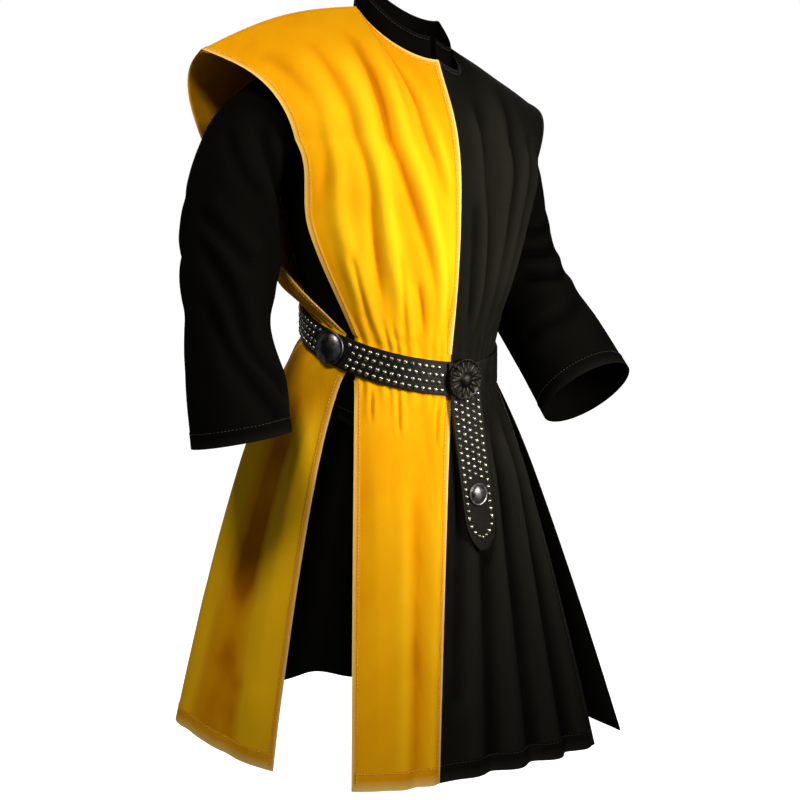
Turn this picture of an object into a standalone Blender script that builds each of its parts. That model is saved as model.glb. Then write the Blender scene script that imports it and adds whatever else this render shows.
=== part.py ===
"""Medieval tunic: a yellow and black surcoat, open at both sides, worn over its black
sleeved under-tunic and drawn in by a studded leather belt.

Metres, +Z up. The origin lies between the two shoulder points beside the neck.
The front faces -Y, and the wearer's right side is -X.
"""
import bpy
import bmesh
from collections import namedtuple
from functools import partial
from math import cos, exp, pi, radians, sin
from mathutils import Matrix, Vector

# Walls and gaps
SURCOAT_WALL = 0.0015
UNDER_WALL = 0.0012
LEATHER_WALL = 0.0035
SEAM_GAP = 0.0003

# Neckline of the surcoat: half width at the shoulders, then depth and drop at the centre
NECK_HALF_WIDTH = 0.080
NECK_SHARE = 0.34
NECK_FRONT = (0.085, 0.075)
NECK_BACK = (0.062, 0.010)
SHOULDER_ROUND = 0.018
SHOULDER_START = 0.1

# The waist that the belt draws in, lower in front than behind
WAIST_HALF_WIDTH = 0.146
WAIST_DEPTH = 0.115
WAIST_Z = -0.472
WAIST_TILT = 0.38
WAIST_ROLL = -0.09
BAND_HEIGHT = 0.056

# Shares of a panel's length, from top edge to hem, where the belt begins and ends
BAND_TOP = 0.50
BAND_LOW = 0.55

# The wearer's right is -1, the left +1; a front faces -1, a back +1
RIGHT, LEFT = -1, 1
FRONT, BACK = -1, 1

# Outer end of each shoulder seam: distance out, back and down from the origin
SHOULDER_TIP = {RIGHT: (0.319, 0.020, -0.066), LEFT: (0.295, 0.052, -0.130)}

# How far each side of the neckline lies below the other, and how far each shoulder seam bows up
NECK_TILT = {RIGHT: 0.0, LEFT: 0.045}
SHOULDER_BOW = {RIGHT: 0.015, LEFT: -0.004}

# A level of a panel: an arc from its centre seam to its side edge
Level = namedtuple("Level", "half_width depth edge_angle centre_z edge_z")
LEVELS = {
    (FRONT, RIGHT): [
        Level(0.262, 0.128, 60, -0.182, -0.185),
        Level(0.228, 0.134, 63, -0.305, -0.305),
    ],
    (FRONT, LEFT): [
        Level(0.235, 0.128, 66, -0.182, -0.215),
        Level(0.205, 0.134, 67, -0.305, -0.315),
    ],
    (BACK, RIGHT): [
        Level(0.337, 0.152, 60, -0.150, -0.165),
        Level(0.240, 0.166, 58, -0.290, -0.290),
        Level(0.190, 0.142, 92, -0.375, -0.378),
    ],
    (BACK, LEFT): [
        Level(0.302, 0.152, 58, -0.150, -0.215),
        Level(0.232, 0.166, 56, -0.290, -0.300),
        Level(0.190, 0.142, 92, -0.375, -0.380),
    ],
}
WAIST_EDGE_ANGLE = {FRONT: 59, BACK: 115}

# The hem in plan: a curve from the centre seam to the side edge, with the bend of each end.
# A flare under 1 spreads the skirt soon below the belt and then lets it hang.
Hem = namedtuple("Hem", "centre centre_bend edge_bend edge centre_z edge_z flare")
HEMS = {
    (FRONT, RIGHT): Hem((-0.040, -0.140), (-0.075, -0.140), (-0.118, -0.122), (-0.155, -0.088),
                        centre_z=-1.093, edge_z=-1.095, flare=0.82),
    (FRONT, LEFT): Hem((-0.040, -0.140), (0.060, -0.150), (0.160, -0.155), (0.262, -0.140),
                       centre_z=-1.093, edge_z=-1.094, flare=0.82),
    (BACK, RIGHT): Hem((0.000, 0.330), (-0.130, 0.365), (-0.285, 0.310), (-0.180, 0.070),
                       centre_z=-1.056, edge_z=-1.101, flare=0.70),
    (BACK, LEFT): Hem((0.000, 0.330), (0.160, 0.340), (0.340, 0.150), (0.372, -0.085),
                      centre_z=-1.056, edge_z=-1.108, flare=0.86),
}

# A fold runs from one place on a panel to another: across and down at its start and end
Fold = namedtuple("Fold", "across_start down_start across_end down_end half_width height")
FOLDS = {
    (FRONT, RIGHT): [
        Fold(0.78, 0.06, 0.75, 0.50, 0.070, 0.005),
        Fold(0.58, 0.05, 0.42, 0.50, 0.066, 0.008),
        Fold(0.37, 0.05, 0.12, 0.50, 0.055, 0.007),
        Fold(0.14, 0.10, 0.03, 0.50, 0.040, 0.004),
        Fold(0.80, 0.60, 0.82, 1.20, 0.110, 0.003),
        Fold(0.46, 0.60, 0.48, 1.20, 0.100, 0.004),
        Fold(0.12, 0.60, 0.14, 1.20, 0.080, 0.003),
    ],
    (FRONT, LEFT): [
        Fold(0.12, 0.08, 0.22, 0.50, 0.045, 0.007),
        Fold(0.30, 0.06, 0.38, 0.50, 0.055, 0.007),
        Fold(0.54, 0.10, 0.54, 0.50, 0.060, 0.006),
        Fold(0.78, 0.14, 0.74, 0.50, 0.060, 0.005),
        Fold(0.20, 0.60, 0.20, 1.20, 0.070, 0.005),
        Fold(0.42, 0.57, 0.46, 1.20, 0.070, 0.008),
        Fold(0.66, 0.57, 0.70, 1.20, 0.070, 0.011),
        Fold(0.90, 0.57, 0.91, 1.20, 0.050, 0.008),
    ],
    (BACK, RIGHT): [
        Fold(0.16, 0.10, 0.14, 0.50, 0.055, 0.008),
        Fold(0.36, 0.10, 0.30, 0.50, 0.055, 0.008),
        Fold(0.58, 0.14, 0.48, 0.50, 0.055, 0.007),
        Fold(0.14, 0.57, 0.16, 1.20, 0.065, 0.013),
        Fold(0.38, 0.57, 0.38, 1.20, 0.070, 0.012),
        Fold(0.60, 0.58, 0.58, 1.20, 0.090, 0.012),
        Fold(0.92, 0.57, 0.94, 1.02, 0.055, 0.011),
    ],
    (BACK, LEFT): [
        Fold(0.16, 0.10, 0.14, 0.50, 0.055, 0.008),
        Fold(0.38, 0.10, 0.31, 0.50, 0.055, 0.008),
        Fold(0.60, 0.14, 0.49, 0.50, 0.055, 0.007),
        Fold(0.14, 0.57, 0.17, 1.20, 0.065, 0.013),
        Fold(0.36, 0.57, 0.40, 1.20, 0.070, 0.015),
        Fold(0.60, 0.57, 0.62, 1.20, 0.065, 0.014),
        Fold(0.84, 0.57, 0.84, 1.20, 0.055, 0.009),
    ],
}
FOLD_EASE = 0.10

# Small gathers under the belt, flat beside the centre seam
BELT_FOLDS = 9
BELT_FOLD_HEIGHT = 0.0025
SEAM_FLAT = 0.10

# Which way a panel faces: its outward and upward share above the belt, its turn to the side below
UPPER_OUT = 0.6
UPPER_UP = 0.3
SKIRT_TURN = 0.8
NORMAL_STEP = 0.004

# Under-tunic: neck, then levels from the armpit down, a little inside the surcoat
UNDER_NECK_SHARE = 0.5
UNDER_NECK_HALF_WIDTH = 0.074
UNDER_NECK_FRONT = (0.078, 0.072)
UNDER_NECK_BACK = (0.055, 0.006)
UNDER_NECK_Z = -0.0060
UNDER_CHEST_DEPTH = {FRONT: 0.112, BACK: 0.118}
UNDER_WAIST_GAP = 0.0010
UNDER_HEM_DROP = 0.105
UNDER_HEM_INSET = 0.018
UNDER_CENTRE_TOP = -0.072
UNDER_CENTRE_RUN = 0.178
UNDER_ARM_TURNS = [0.36, 0.68, 1.0]
UNDER_SEAM_START = 0.8

# Where each armhole lies: distance out, back, top, bottom and half depth
Armhole = namedtuple("Armhole", "out back top bottom half_depth")
ARMHOLES = {
    RIGHT: Armhole(0.190, 0.012, -0.066, -0.238, 0.052),
    LEFT: Armhole(0.186, 0.018, -0.098, -0.256, 0.050),
}

# A sleeve's head stands off the armhole by its wall at the underarm
SLEEVE_CLEAR = UNDER_WALL * 1.2

# Sleeve rings: centre, swing from upright (0) to level (90), forward bend, half sizes
Ring = namedtuple("Ring", "out back z swing bend half_width half_depth")
SLEEVES = {
    RIGHT: [
        Ring(0.243, 0.012, -0.188, 36, 0, 0.066, 0.056),
        Ring(0.267, 0.013, -0.222, 62, 0, 0.062, 0.058),
        Ring(0.278, 0.015, -0.270, 84, 0, 0.066, 0.062),
        Ring(0.281, 0.016, -0.350, 88, 0, 0.070, 0.066),
        Ring(0.288, 0.014, -0.435, 92, 2, 0.058, 0.061),
        Ring(0.282, 0.006, -0.515, 94, 6, 0.069, 0.066),
        Ring(0.279, -0.004, -0.592, 96, 8, 0.071, 0.067),
    ],
    LEFT: [
        Ring(0.220, 0.023, -0.216, 36, 0, 0.056, 0.052),
        Ring(0.231, 0.033, -0.250, 62, 4, 0.054, 0.055),
        Ring(0.245, 0.043, -0.298, 82, 8, 0.058, 0.060),
        Ring(0.262, 0.049, -0.360, 86, 16, 0.064, 0.064),
        Ring(0.273, 0.018, -0.430, 86, 30, 0.068, 0.068),
        Ring(0.283, -0.030, -0.490, 86, 40, 0.072, 0.070),
        Ring(0.290, -0.088, -0.562, 86, 43, 0.075, 0.072),
    ],
}

# Stand collar
COLLAR_HEIGHT = {FRONT: 0.036, BACK: 0.040}
COLLAR_LEAN = 0.10
COLLAR_SLIT = 0.2
COLLAR_ROWS = 2

# Belt, its hanging end and its conchos
BELT_WIDTH = 0.048
BELT_CLEAR = SURCOAT_WALL + BELT_FOLD_HEIGHT + SEAM_GAP * 2
BELT_SIDES = 56
END_TOP = (0.016, -0.495)
END_TIP = (0.040, -0.765)
END_WIDTH = 0.056
END_LEAN = 0.018
END_FREE = 0.25
END_ROUND_START = 0.80
END_TIP_SHARE = 0.28
END_COLUMNS = 4
END_ROWS = 12
BUCKLE_RADIUS = 0.030
BUCKLE_HEIGHT = 0.009
SIDE_CONCHO_RADIUS = 0.024
SIDE_CONCHO_HEIGHT = 0.008
SIDE_CONCHO_ANGLE = 75
END_CONCHO_RADIUS = 0.0165
END_CONCHO_HEIGHT = 0.006
END_CONCHO_PLACE = 0.70

# A concho from its back's centre over its rim to the top of its dome: shares of radius and height
CONCHO_PROFILE = [(0.0, 0.0), (1.0, 0.0), (1.0, 0.30), (0.92, 0.48), (0.80, 0.36), (0.62, 0.66),
                  (0.34, 0.92), (0.0, 1.0)]
CONCHO_STEPS = 20

# Grid columns and rows
PANEL_COLUMNS = {FRONT: 22, BACK: 20}
UPPER_ROWS = 11
SKIRT_ROWS = 8
UNDER_COLUMNS = 20
UNDER_BODY_ROWS = 3
SLEEVE_SIDES = 18
UNDER_ARM_ROWS = SLEEVE_SIDES // 2
SLEEVE_ROWS = 13
MERGE = 0.00001

# Colours, linear
YELLOW = (0.84, 0.45, 0.008)
BLACK = (0.008, 0.008, 0.007)
LEATHER = (0.010, 0.010, 0.009)
DARK_METAL = (0.03, 0.03, 0.03)
CLOTH_ROUGHNESS = 0.85
LEATHER_ROUGHNESS = 0.45
METAL_ROUGHNESS = 0.35


def spline(points, place):
    """A smooth curve through the points; place runs from 0 to the number of spans."""
    last = len(points) - 1
    first = min(int(place), last - 1)
    f = place - first
    p1, p2 = points[first], points[first + 1]
    p0 = points[first - 1] if first > 0 else p1 * 2 - p2
    p3 = points[first + 2] if first + 2 <= last else p2 * 2 - p1
    square = p0 * 2 - p1 * 5 + p2 * 4 - p3
    cube = p1 * 3 - p0 - p2 * 3 + p3
    return (p1 * 2 + (p2 - p0) * f + square * f ** 2 + cube * f ** 3) * 0.5


def bezier(a, b, c, d, f):
    g = 1 - f
    return a * g ** 3 + b * (3 * g * g * f) + c * (3 * g * f * f) + d * f ** 3


def ease(f):
    f = max(0.0, min(1.0, f))
    return f * f * (3 - 2 * f)


def waist_point(angle, half_width, depth, rise=0.0):
    """A point round the waist; the angle is taken from centre front, positive to the left."""
    y = -depth * cos(angle)
    x = half_width * sin(angle)
    return Vector((x, y, WAIST_Z + WAIST_TILT * y + WAIST_ROLL * x + rise))


def surcoat_top(facing, side, u):
    """The top edge of a panel: the neckline, then the shoulder seam out to its tip."""
    depth, drop = NECK_FRONT if facing == FRONT else NECK_BACK
    if u < NECK_SHARE:
        turn = u / NECK_SHARE * pi / 2
        z = -drop * cos(turn) - NECK_TILT[side] * sin(turn)
        return Vector((side * NECK_HALF_WIDTH * sin(turn), facing * depth * cos(turn), z))
    along = (u - NECK_SHARE) / (1 - NECK_SHARE)
    out, back, z = SHOULDER_TIP[side]
    start = Vector((side * NECK_HALF_WIDTH, 0, -NECK_TILT[side]))
    bow = Vector((0, 0, SHOULDER_BOW[side] * sin(pi * along)))
    return start.lerp(Vector((side * out, back, z)), along) + bow


def surcoat_level(level, facing, side, u):
    turn = radians(level.edge_angle) * u
    z = level.centre_z + (level.edge_z - level.centre_z) * u * u
    return Vector((side * level.half_width * sin(turn), facing * level.depth * cos(turn), z))


def surcoat_waist(facing, side, u, rise):
    turn = radians(WAIST_EDGE_ANGLE[facing]) * u
    angle = turn if facing == FRONT else pi - turn
    return waist_point(side * angle, WAIST_HALF_WIDTH, WAIST_DEPTH, rise)


def surcoat_hem(facing, side, u):
    hem = HEMS[facing, side]
    corners = [Vector(corner) for corner in (hem.centre, hem.centre_bend, hem.edge_bend, hem.edge)]
    plan = bezier(*corners, u)
    return Vector((plan.x, plan.y, hem.centre_z + (hem.edge_z - hem.centre_z) * u * u))


def surcoat_form(facing, side, u, v):
    """A panel's smooth form: over the shoulder to the belt, flat under it, then the skirt."""
    band_top = surcoat_waist(facing, side, u, BAND_HEIGHT / 2)
    band_low = surcoat_waist(facing, side, u, -BAND_HEIGHT / 2)
    if v <= BAND_TOP:
        rows = [surcoat_top(facing, side, u)]
        rows += [surcoat_level(level, facing, side, u) for level in LEVELS[facing, side]]
        rows.append(band_top)
        place = v / BAND_TOP * (len(rows) - 1)
        point = spline(rows, place)
        round_out = SHOULDER_ROUND * sin(pi * min(place, 1.0)) * ease((u - SHOULDER_START) / NECK_SHARE)
        return point + Vector((0, facing, 1)) * round_out
    if v <= BAND_LOW:
        return band_top.lerp(band_low, (v - BAND_TOP) / (BAND_LOW - BAND_TOP))
    down = (v - BAND_LOW) / (1 - BAND_LOW)
    hem = surcoat_hem(facing, side, u)
    point = band_low.lerp(hem, down ** HEMS[facing, side].flare)
    point.z = band_low.z + (hem.z - band_low.z) * down
    return point


def outward(form, u, v, away):
    """The unit normal of a form at (u, v), on the side that points away."""
    across = form(min(u + NORMAL_STEP, 1), v) - form(max(u - NORMAL_STEP, 0), v)
    along = form(u, min(v + NORMAL_STEP, 1)) - form(u, max(v - NORMAL_STEP, 0))
    normal = across.cross(along).normalized()
    return normal if normal.dot(away) > 0 else -normal


def fold_height(folds, u, v):
    total = 0.0
    for fold in folds:
        f = (v - fold.down_start) / (fold.down_end - fold.down_start)
        middle = fold.across_start + (fold.across_end - fold.across_start) * ease(f)
        shape = exp(-((u - middle) / fold.half_width) ** 2)
        length = fold.down_end - fold.down_start
        ends = ease(f * length / FOLD_EASE) * ease((1 - f) * length / FOLD_EASE)
        total += fold.height * shape * ends
    return total


def surcoat_point(facing, side, u, v):
    form = partial(surcoat_form, facing, side)
    away = Vector((side * UPPER_OUT * u, facing, UPPER_UP))
    if v > BAND_LOW:
        away = Vector((side * u, facing * (1 - SKIRT_TURN * u), 0))
    height = fold_height(FOLDS[facing, side], u, v)
    if BAND_TOP <= v <= BAND_LOW:
        height = BELT_FOLD_HEIGHT * (0.5 - 0.5 * cos(2 * pi * BELT_FOLDS * u)) * ease(u / SEAM_FLAT)
        away = form(u, v) * Vector((1, 1, 0))
    seam = Vector((side * (1 - u), facing * ease(u / NECK_SHARE), 0)) * SEAM_GAP
    return form(u, v) + outward(form, u, v, away) * height + seam


def under_top(facing, u):
    depth, drop = UNDER_NECK_FRONT if facing == FRONT else UNDER_NECK_BACK
    side = LEFT if u > 0 else RIGHT
    across = abs(u)
    neck_side = Vector((side * UNDER_NECK_HALF_WIDTH, 0, UNDER_NECK_Z - NECK_TILT[side]))
    if across < UNDER_NECK_SHARE:
        turn = across / UNDER_NECK_SHARE * pi / 2
        z = UNDER_NECK_Z - drop * cos(turn) - NECK_TILT[side] * sin(turn)
        return Vector((side * UNDER_NECK_HALF_WIDTH * sin(turn), facing * depth * cos(turn), z))
    hole = ARMHOLES[side]
    shoulder = Vector((side * hole.out, hole.back, hole.top))
    return neck_side.lerp(shoulder, (across - UNDER_NECK_SHARE) / (1 - UNDER_NECK_SHARE))


def under_arm_level(facing, u, turn):
    """A row across the chest between the two armholes, at a turn of the armhole's oval."""
    side = LEFT if u > 0 else RIGHT
    hole = ARMHOLES[side]
    middle = (hole.top + hole.bottom) / 2
    z_edge = middle + (hole.top - middle) * cos(turn)
    y_edge = hole.back + facing * hole.half_depth * sin(turn)
    z_centre = UNDER_CENTRE_TOP - UNDER_CENTRE_RUN * (turn / pi)
    neck_depth = (UNDER_NECK_FRONT if facing == FRONT else UNDER_NECK_BACK)[0]
    y_centre = facing * (neck_depth + (UNDER_CHEST_DEPTH[facing] - neck_depth) * ease(turn / pi))
    swing = abs(u) * pi / 2
    share = cos(swing)
    return Vector((side * hole.out * sin(swing), y_edge + (y_centre - y_edge) * share,
                   z_edge + (z_centre - z_edge) * share))


def under_waist(facing, u, rise, inset=UNDER_WALL + UNDER_WAIST_GAP):
    angle = u * pi / 2 if facing == FRONT else pi - u * pi / 2
    return waist_point(angle, WAIST_HALF_WIDTH - inset, WAIST_DEPTH - inset, rise)


def under_point(facing, u, v):
    """The under-tunic's body; v runs 0 to 1 down the armhole and 1 to 2 down the side seam."""
    rows = [under_top(facing, u)]
    rows += [under_arm_level(facing, u, pi * turn) for turn in UNDER_ARM_TURNS]
    band_top = under_waist(facing, u, BAND_HEIGHT / 2)
    if v <= 1:
        point = spline(rows + [band_top], v * len(UNDER_ARM_TURNS))
    else:
        band_low = under_waist(facing, u, -BAND_HEIGHT / 2)
        hem = under_waist(facing, u, -UNDER_HEM_DROP, UNDER_HEM_INSET)
        lower = [rows[-1], band_top, band_low, hem]
        place = (v - 1) * UNDER_BODY_ROWS
        first = min(int(place), UNDER_BODY_ROWS - 1)
        point = lower[first].lerp(lower[first + 1], place - first)
    apart = ease((abs(u) / UNDER_NECK_SHARE - UNDER_SEAM_START) / (1 - UNDER_SEAM_START))
    return point + Vector((0, facing * apart * SEAM_GAP / 2, 0))


def sleeve_ring(side, ring, turn):
    """A point of a sleeve ring; turn 0 is its outer side, a quarter turn its front."""
    swing = radians(ring.swing)
    bend = radians(ring.bend)
    centre = Vector((side * ring.out, ring.back, ring.z))
    outer = Vector((side * sin(swing), 0, cos(swing)))
    along = Vector((side * cos(swing), 0, -sin(swing)))
    front = Vector((0, -cos(bend), 0)) - along * sin(bend)
    return centre + outer * (ring.half_width * cos(turn)) + front * (ring.half_depth * sin(turn))


def sleeve_point(side, around, down):
    """A sleeve runs from the edge of the armhole through its rings to the cuff."""
    turn = around * 2 * pi
    facing = FRONT if around <= 0.5 else BACK
    hole_place = turn / pi if facing == FRONT else 2 - turn / pi
    clear = SEAM_GAP + SLEEVE_CLEAR * (0.5 - 0.5 * cos(turn))
    start = under_point(facing, side, hole_place) + Vector((side * clear, 0, 0))
    rows = [start] + [sleeve_ring(side, ring, turn) for ring in SLEEVES[side]]
    return spline(rows, down * (len(rows) - 1))


def collar_point(column, up):
    """The stand collar on the neckline's own points, from one side of its front slit to the other."""
    quarter = round(UNDER_COLUMNS * UNDER_NECK_SHARE / 2)
    slit = COLLAR_SLIT if column == 0 else -COLLAR_SLIT if column == 4 * quarter else 0.0
    place = column + slit

    def neckline(index):
        facing = BACK if quarter < index < 3 * quarter else FRONT
        offset = index if index <= quarter else index - 4 * quarter
        if facing == BACK:
            offset = 2 * quarter - index
        return under_point(facing, offset / quarter * UNDER_NECK_SHARE, 0)

    first = min(int(place), 4 * quarter - 1)
    base = neckline(first).lerp(neckline(first + 1), place - first)
    inward = Vector((-base.x, -base.y, 0)).normalized()
    front_share = 0.5 - 0.5 * base.y / UNDER_NECK_FRONT[0]
    height = COLLAR_HEIGHT[BACK] + (COLLAR_HEIGHT[FRONT] - COLLAR_HEIGHT[BACK]) * front_share
    return base + inward * (SEAM_GAP + height * up * COLLAR_LEAN) + Vector((0, 0, height * up))


def material(name, colour, roughness, metallic=0.0):
    made = bpy.data.materials.new(name)
    made.use_nodes = True
    shader = made.node_tree.nodes["Principled BSDF"]
    shader.inputs["Base Color"].default_value = (*colour, 1.0)
    shader.inputs["Roughness"].default_value = roughness
    shader.inputs["Metallic"].default_value = metallic
    return made


def cloth(name, colour):
    return material(name, colour, CLOTH_ROUGHNESS)


def metal(name):
    return material(name, DARK_METAL, METAL_ROUGHNESS, 1.0)


def add_object(name, bm, finish):
    mesh = bpy.data.meshes.new(name)
    bm.to_mesh(mesh)
    bm.free()
    mesh.shade_smooth()
    mesh.materials.append(finish)
    made = bpy.data.objects.new(name, mesh)
    bpy.context.scene.collection.objects.link(made)
    return made


def sheet(name, columns, rows, place, flip, wall, offset, finish, closed=False):
    """A wall of cloth on a grid: place(i, j) gives the point of column i and row j."""
    bm = bmesh.new()
    bmesh.ops.create_grid(bm, x_segments=columns, y_segments=rows, size=1)
    for vert in bm.verts:
        i = round((vert.co.x + 1) / 2 * columns)
        j = round((1 - vert.co.y) / 2 * rows)
        vert.co = place(0 if closed and i == columns else i, j)
    if closed:
        bmesh.ops.remove_doubles(bm, verts=bm.verts, dist=MERGE)
    if flip:
        bmesh.ops.reverse_faces(bm, faces=bm.faces)
    made = add_object(name, bm, finish)
    thicken = made.modifiers.new("Wall", "SOLIDIFY")
    thicken.thickness = wall
    thicken.offset = offset


def surcoat_panel(name, facing, side, finish):
    columns = PANEL_COLUMNS[facing]
    downs = [BAND_TOP * j / UPPER_ROWS for j in range(UPPER_ROWS + 1)]
    downs += [BAND_LOW + (1 - BAND_LOW) * j / SKIRT_ROWS for j in range(SKIRT_ROWS + 1)]

    def place(i, j):
        return surcoat_point(facing, side, i / columns, downs[j])

    sheet(name, columns, len(downs) - 1, place, side * facing > 0, SURCOAT_WALL, 1, finish)


def under_panel(name, facing, finish):
    downs = [j / UNDER_ARM_ROWS for j in range(UNDER_ARM_ROWS)]
    downs += [1 + j / UNDER_BODY_ROWS for j in range(UNDER_BODY_ROWS + 1)]

    def place(i, j):
        return under_point(facing, 2 * i / UNDER_COLUMNS - 1, downs[j])

    sheet(name, UNDER_COLUMNS, len(downs) - 1, place, facing > 0, UNDER_WALL, 1, finish)


def sleeve(name, side, finish):
    def place(i, j):
        return sleeve_point(side, i / SLEEVE_SIDES, j / SLEEVE_ROWS)

    sheet(name, SLEEVE_SIDES, SLEEVE_ROWS, place, side > 0, UNDER_WALL, -1, finish, closed=True)


def collar(name, finish):
    columns = round(2 * UNDER_COLUMNS * UNDER_NECK_SHARE)

    def place(i, j):
        return collar_point(i, 1 - j / COLLAR_ROWS)

    sheet(name, columns, COLLAR_ROWS, place, False, UNDER_WALL, -1, finish)


def belt_strap(name, finish):
    """The strap is a closed ring; row 0 is the top edge of its inner face."""
    def place(i, j):
        angle = 2 * pi * i / BELT_SIDES
        rise = BELT_WIDTH * (0.5 - j)
        return waist_point(angle, WAIST_HALF_WIDTH + BELT_CLEAR, WAIST_DEPTH + BELT_CLEAR, rise)

    sheet(name, BELT_SIDES, 1, place, False, LEATHER_WALL, 1, finish, closed=True)


def belt_outside(angle, lift):
    """The place and the outward direction on the strap's outer face at a turn from the front."""
    reach = BELT_CLEAR + LEATHER_WALL + lift
    place = waist_point(angle, WAIST_HALF_WIDTH + reach, WAIST_DEPTH + reach)
    normal = Vector((sin(angle) / WAIST_HALF_WIDTH, -cos(angle) / WAIST_DEPTH, 0)).normalized()
    return place, normal


def end_point(across, down):
    """The inner face of the hanging strap end, from behind the buckle to its rounded tip."""
    half = END_WIDTH / 2
    past = max(0.0, down - END_ROUND_START) / (1 - END_ROUND_START)
    half *= max(END_TIP_SHARE, (1 - past ** 2) ** 0.5)
    x = END_TOP[0] + (END_TIP[0] - END_TOP[0]) * down
    z = END_TOP[1] + (END_TIP[1] - END_TOP[1]) * down
    hang = max(0.0, down - END_FREE) / (1 - END_FREE)
    front = WAIST_DEPTH + BELT_CLEAR + LEATHER_WALL + SEAM_GAP + END_LEAN * hang
    return Vector((x + across * half, -front, z))


def belt_end(name, finish):
    def place(i, j):
        return end_point(2 * i / END_COLUMNS - 1, j / END_ROWS)

    sheet(name, END_COLUMNS, END_ROWS, place, False, LEATHER_WALL, 1, finish)


def end_outside(down):
    """The place and the outward direction on the strap end's outer face."""
    run = end_point(0, down + NORMAL_STEP) - end_point(0, down)
    normal = run.cross(Vector((1, 0, 0))).normalized()
    return end_point(0, down) + normal * (LEATHER_WALL + SEAM_GAP * 2), normal


def concho(name, place, normal, radius, height, finish):
    """A domed plate with a raised rim and a flat back, turned about the direction it faces."""
    bm = bmesh.new()
    verts = [bm.verts.new((share * radius, 0, lift * height)) for share, lift in CONCHO_PROFILE]
    edges = [bm.edges.new(pair) for pair in zip(verts, verts[1:])]
    bmesh.ops.spin(bm, geom=verts + edges, cent=(0, 0, 0), axis=(0, 0, 1), angle=2 * pi,
                   steps=CONCHO_STEPS, use_merge=True)
    bmesh.ops.remove_doubles(bm, verts=bm.verts, dist=MERGE)
    bmesh.ops.recalc_face_normals(bm, faces=bm.faces)
    turn = normal.to_track_quat("Z", "Y").to_matrix().to_4x4()
    bmesh.ops.transform(bm, matrix=Matrix.Translation(place) @ turn, verts=bm.verts)
    add_object(name, bm, finish)


def main():
    for old in list(bpy.data.objects):
        bpy.data.objects.remove(old, do_unlink=True)

    # Surcoat
    surcoat_panel("surcoat_front_right", FRONT, RIGHT, cloth("yellow_twill_front", YELLOW))
    surcoat_panel("surcoat_front_left", FRONT, LEFT, cloth("black_twill_front", BLACK))
    surcoat_panel("surcoat_back_right", BACK, RIGHT, cloth("yellow_twill_back", YELLOW))
    surcoat_panel("surcoat_back_left", BACK, LEFT, cloth("black_twill_back", BLACK))

    # Under-tunic
    under_panel("under_front", FRONT, cloth("black_cotton_front", BLACK))
    under_panel("under_back", BACK, cloth("black_cotton_back", BLACK))
    sleeve("sleeve_right", RIGHT, cloth("black_cotton_sleeve_right", BLACK))
    sleeve("sleeve_left", LEFT, cloth("black_cotton_sleeve_left", BLACK))
    collar("collar", cloth("black_cotton_collar", BLACK))

    # Belt: the buckle sits in front of the hanging end, the other two conchos on the leather
    belt_strap("belt_strap", material("black_belt_leather", LEATHER, LEATHER_ROUGHNESS))
    belt_end("belt_end", material("black_strap_end_leather", LEATHER, LEATHER_ROUGHNESS))
    buckle_place, buckle_normal = belt_outside(0.0, LEATHER_WALL + SEAM_GAP * 2)
    buckle_place.x = END_TOP[0]
    concho("buckle", buckle_place, buckle_normal, BUCKLE_RADIUS, BUCKLE_HEIGHT, metal("buckle_metal"))
    side_place, side_normal = belt_outside(-radians(SIDE_CONCHO_ANGLE), SEAM_GAP)
    concho("side_concho", side_place, side_normal, SIDE_CONCHO_RADIUS, SIDE_CONCHO_HEIGHT,
           metal("side_concho_metal"))
    end_place, end_normal = end_outside(END_CONCHO_PLACE)
    concho("end_concho", end_place, end_normal, END_CONCHO_RADIUS, END_CONCHO_HEIGHT,
           metal("end_concho_metal"))


main()
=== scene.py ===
"""Looks of the medieval tunic: its cloth, seams, belt and studs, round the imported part.

Metres, +Z up. The front faces -Y, and the wearer's right side is -X.
"""
from collections import namedtuple
from math import cos, pi, radians, sin

import bmesh
import bpy
import numpy as np
from mathutils import Matrix, Vector, noise


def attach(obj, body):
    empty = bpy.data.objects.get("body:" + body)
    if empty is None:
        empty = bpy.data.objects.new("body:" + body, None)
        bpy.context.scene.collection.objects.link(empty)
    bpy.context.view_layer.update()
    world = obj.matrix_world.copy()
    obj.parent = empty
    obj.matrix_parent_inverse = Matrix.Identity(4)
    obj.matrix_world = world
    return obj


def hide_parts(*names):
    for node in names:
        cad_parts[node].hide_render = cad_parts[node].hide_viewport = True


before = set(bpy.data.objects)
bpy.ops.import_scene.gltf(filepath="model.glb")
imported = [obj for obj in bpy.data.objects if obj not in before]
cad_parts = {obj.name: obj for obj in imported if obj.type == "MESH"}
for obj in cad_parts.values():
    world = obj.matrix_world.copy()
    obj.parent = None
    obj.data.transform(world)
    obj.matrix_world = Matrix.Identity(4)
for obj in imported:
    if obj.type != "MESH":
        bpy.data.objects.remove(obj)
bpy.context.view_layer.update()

# Walls and gaps
SURCOAT_WALL = 0.0015
UNDER_WALL = 0.0012
LEATHER_WALL = 0.0035
SEAM_GAP = 0.0003

# Neckline of the surcoat: half width at the shoulders, then depth and drop at the centre
NECK_HALF_WIDTH = 0.080
NECK_SHARE = 0.34
NECK_FRONT = (0.085, 0.075)
NECK_BACK = (0.062, 0.010)
SHOULDER_ROUND = 0.018
SHOULDER_START = 0.1

# The waist that the belt draws in, lower in front than behind
WAIST_HALF_WIDTH = 0.146
WAIST_DEPTH = 0.115
WAIST_Z = -0.472
WAIST_TILT = 0.38
WAIST_ROLL = -0.09
BAND_HEIGHT = 0.056

# Shares of a panel's length, from top edge to hem, where the belt begins and ends
BAND_TOP = 0.50
BAND_LOW = 0.55

# The wearer's right is -1, the left +1; a front faces -1, a back +1
RIGHT, LEFT = -1, 1
FRONT, BACK = -1, 1

# Outer end of each shoulder seam: distance out, back and down from the origin
SHOULDER_TIP = {RIGHT: (0.319, 0.020, -0.066), LEFT: (0.295, 0.052, -0.130)}

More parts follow.
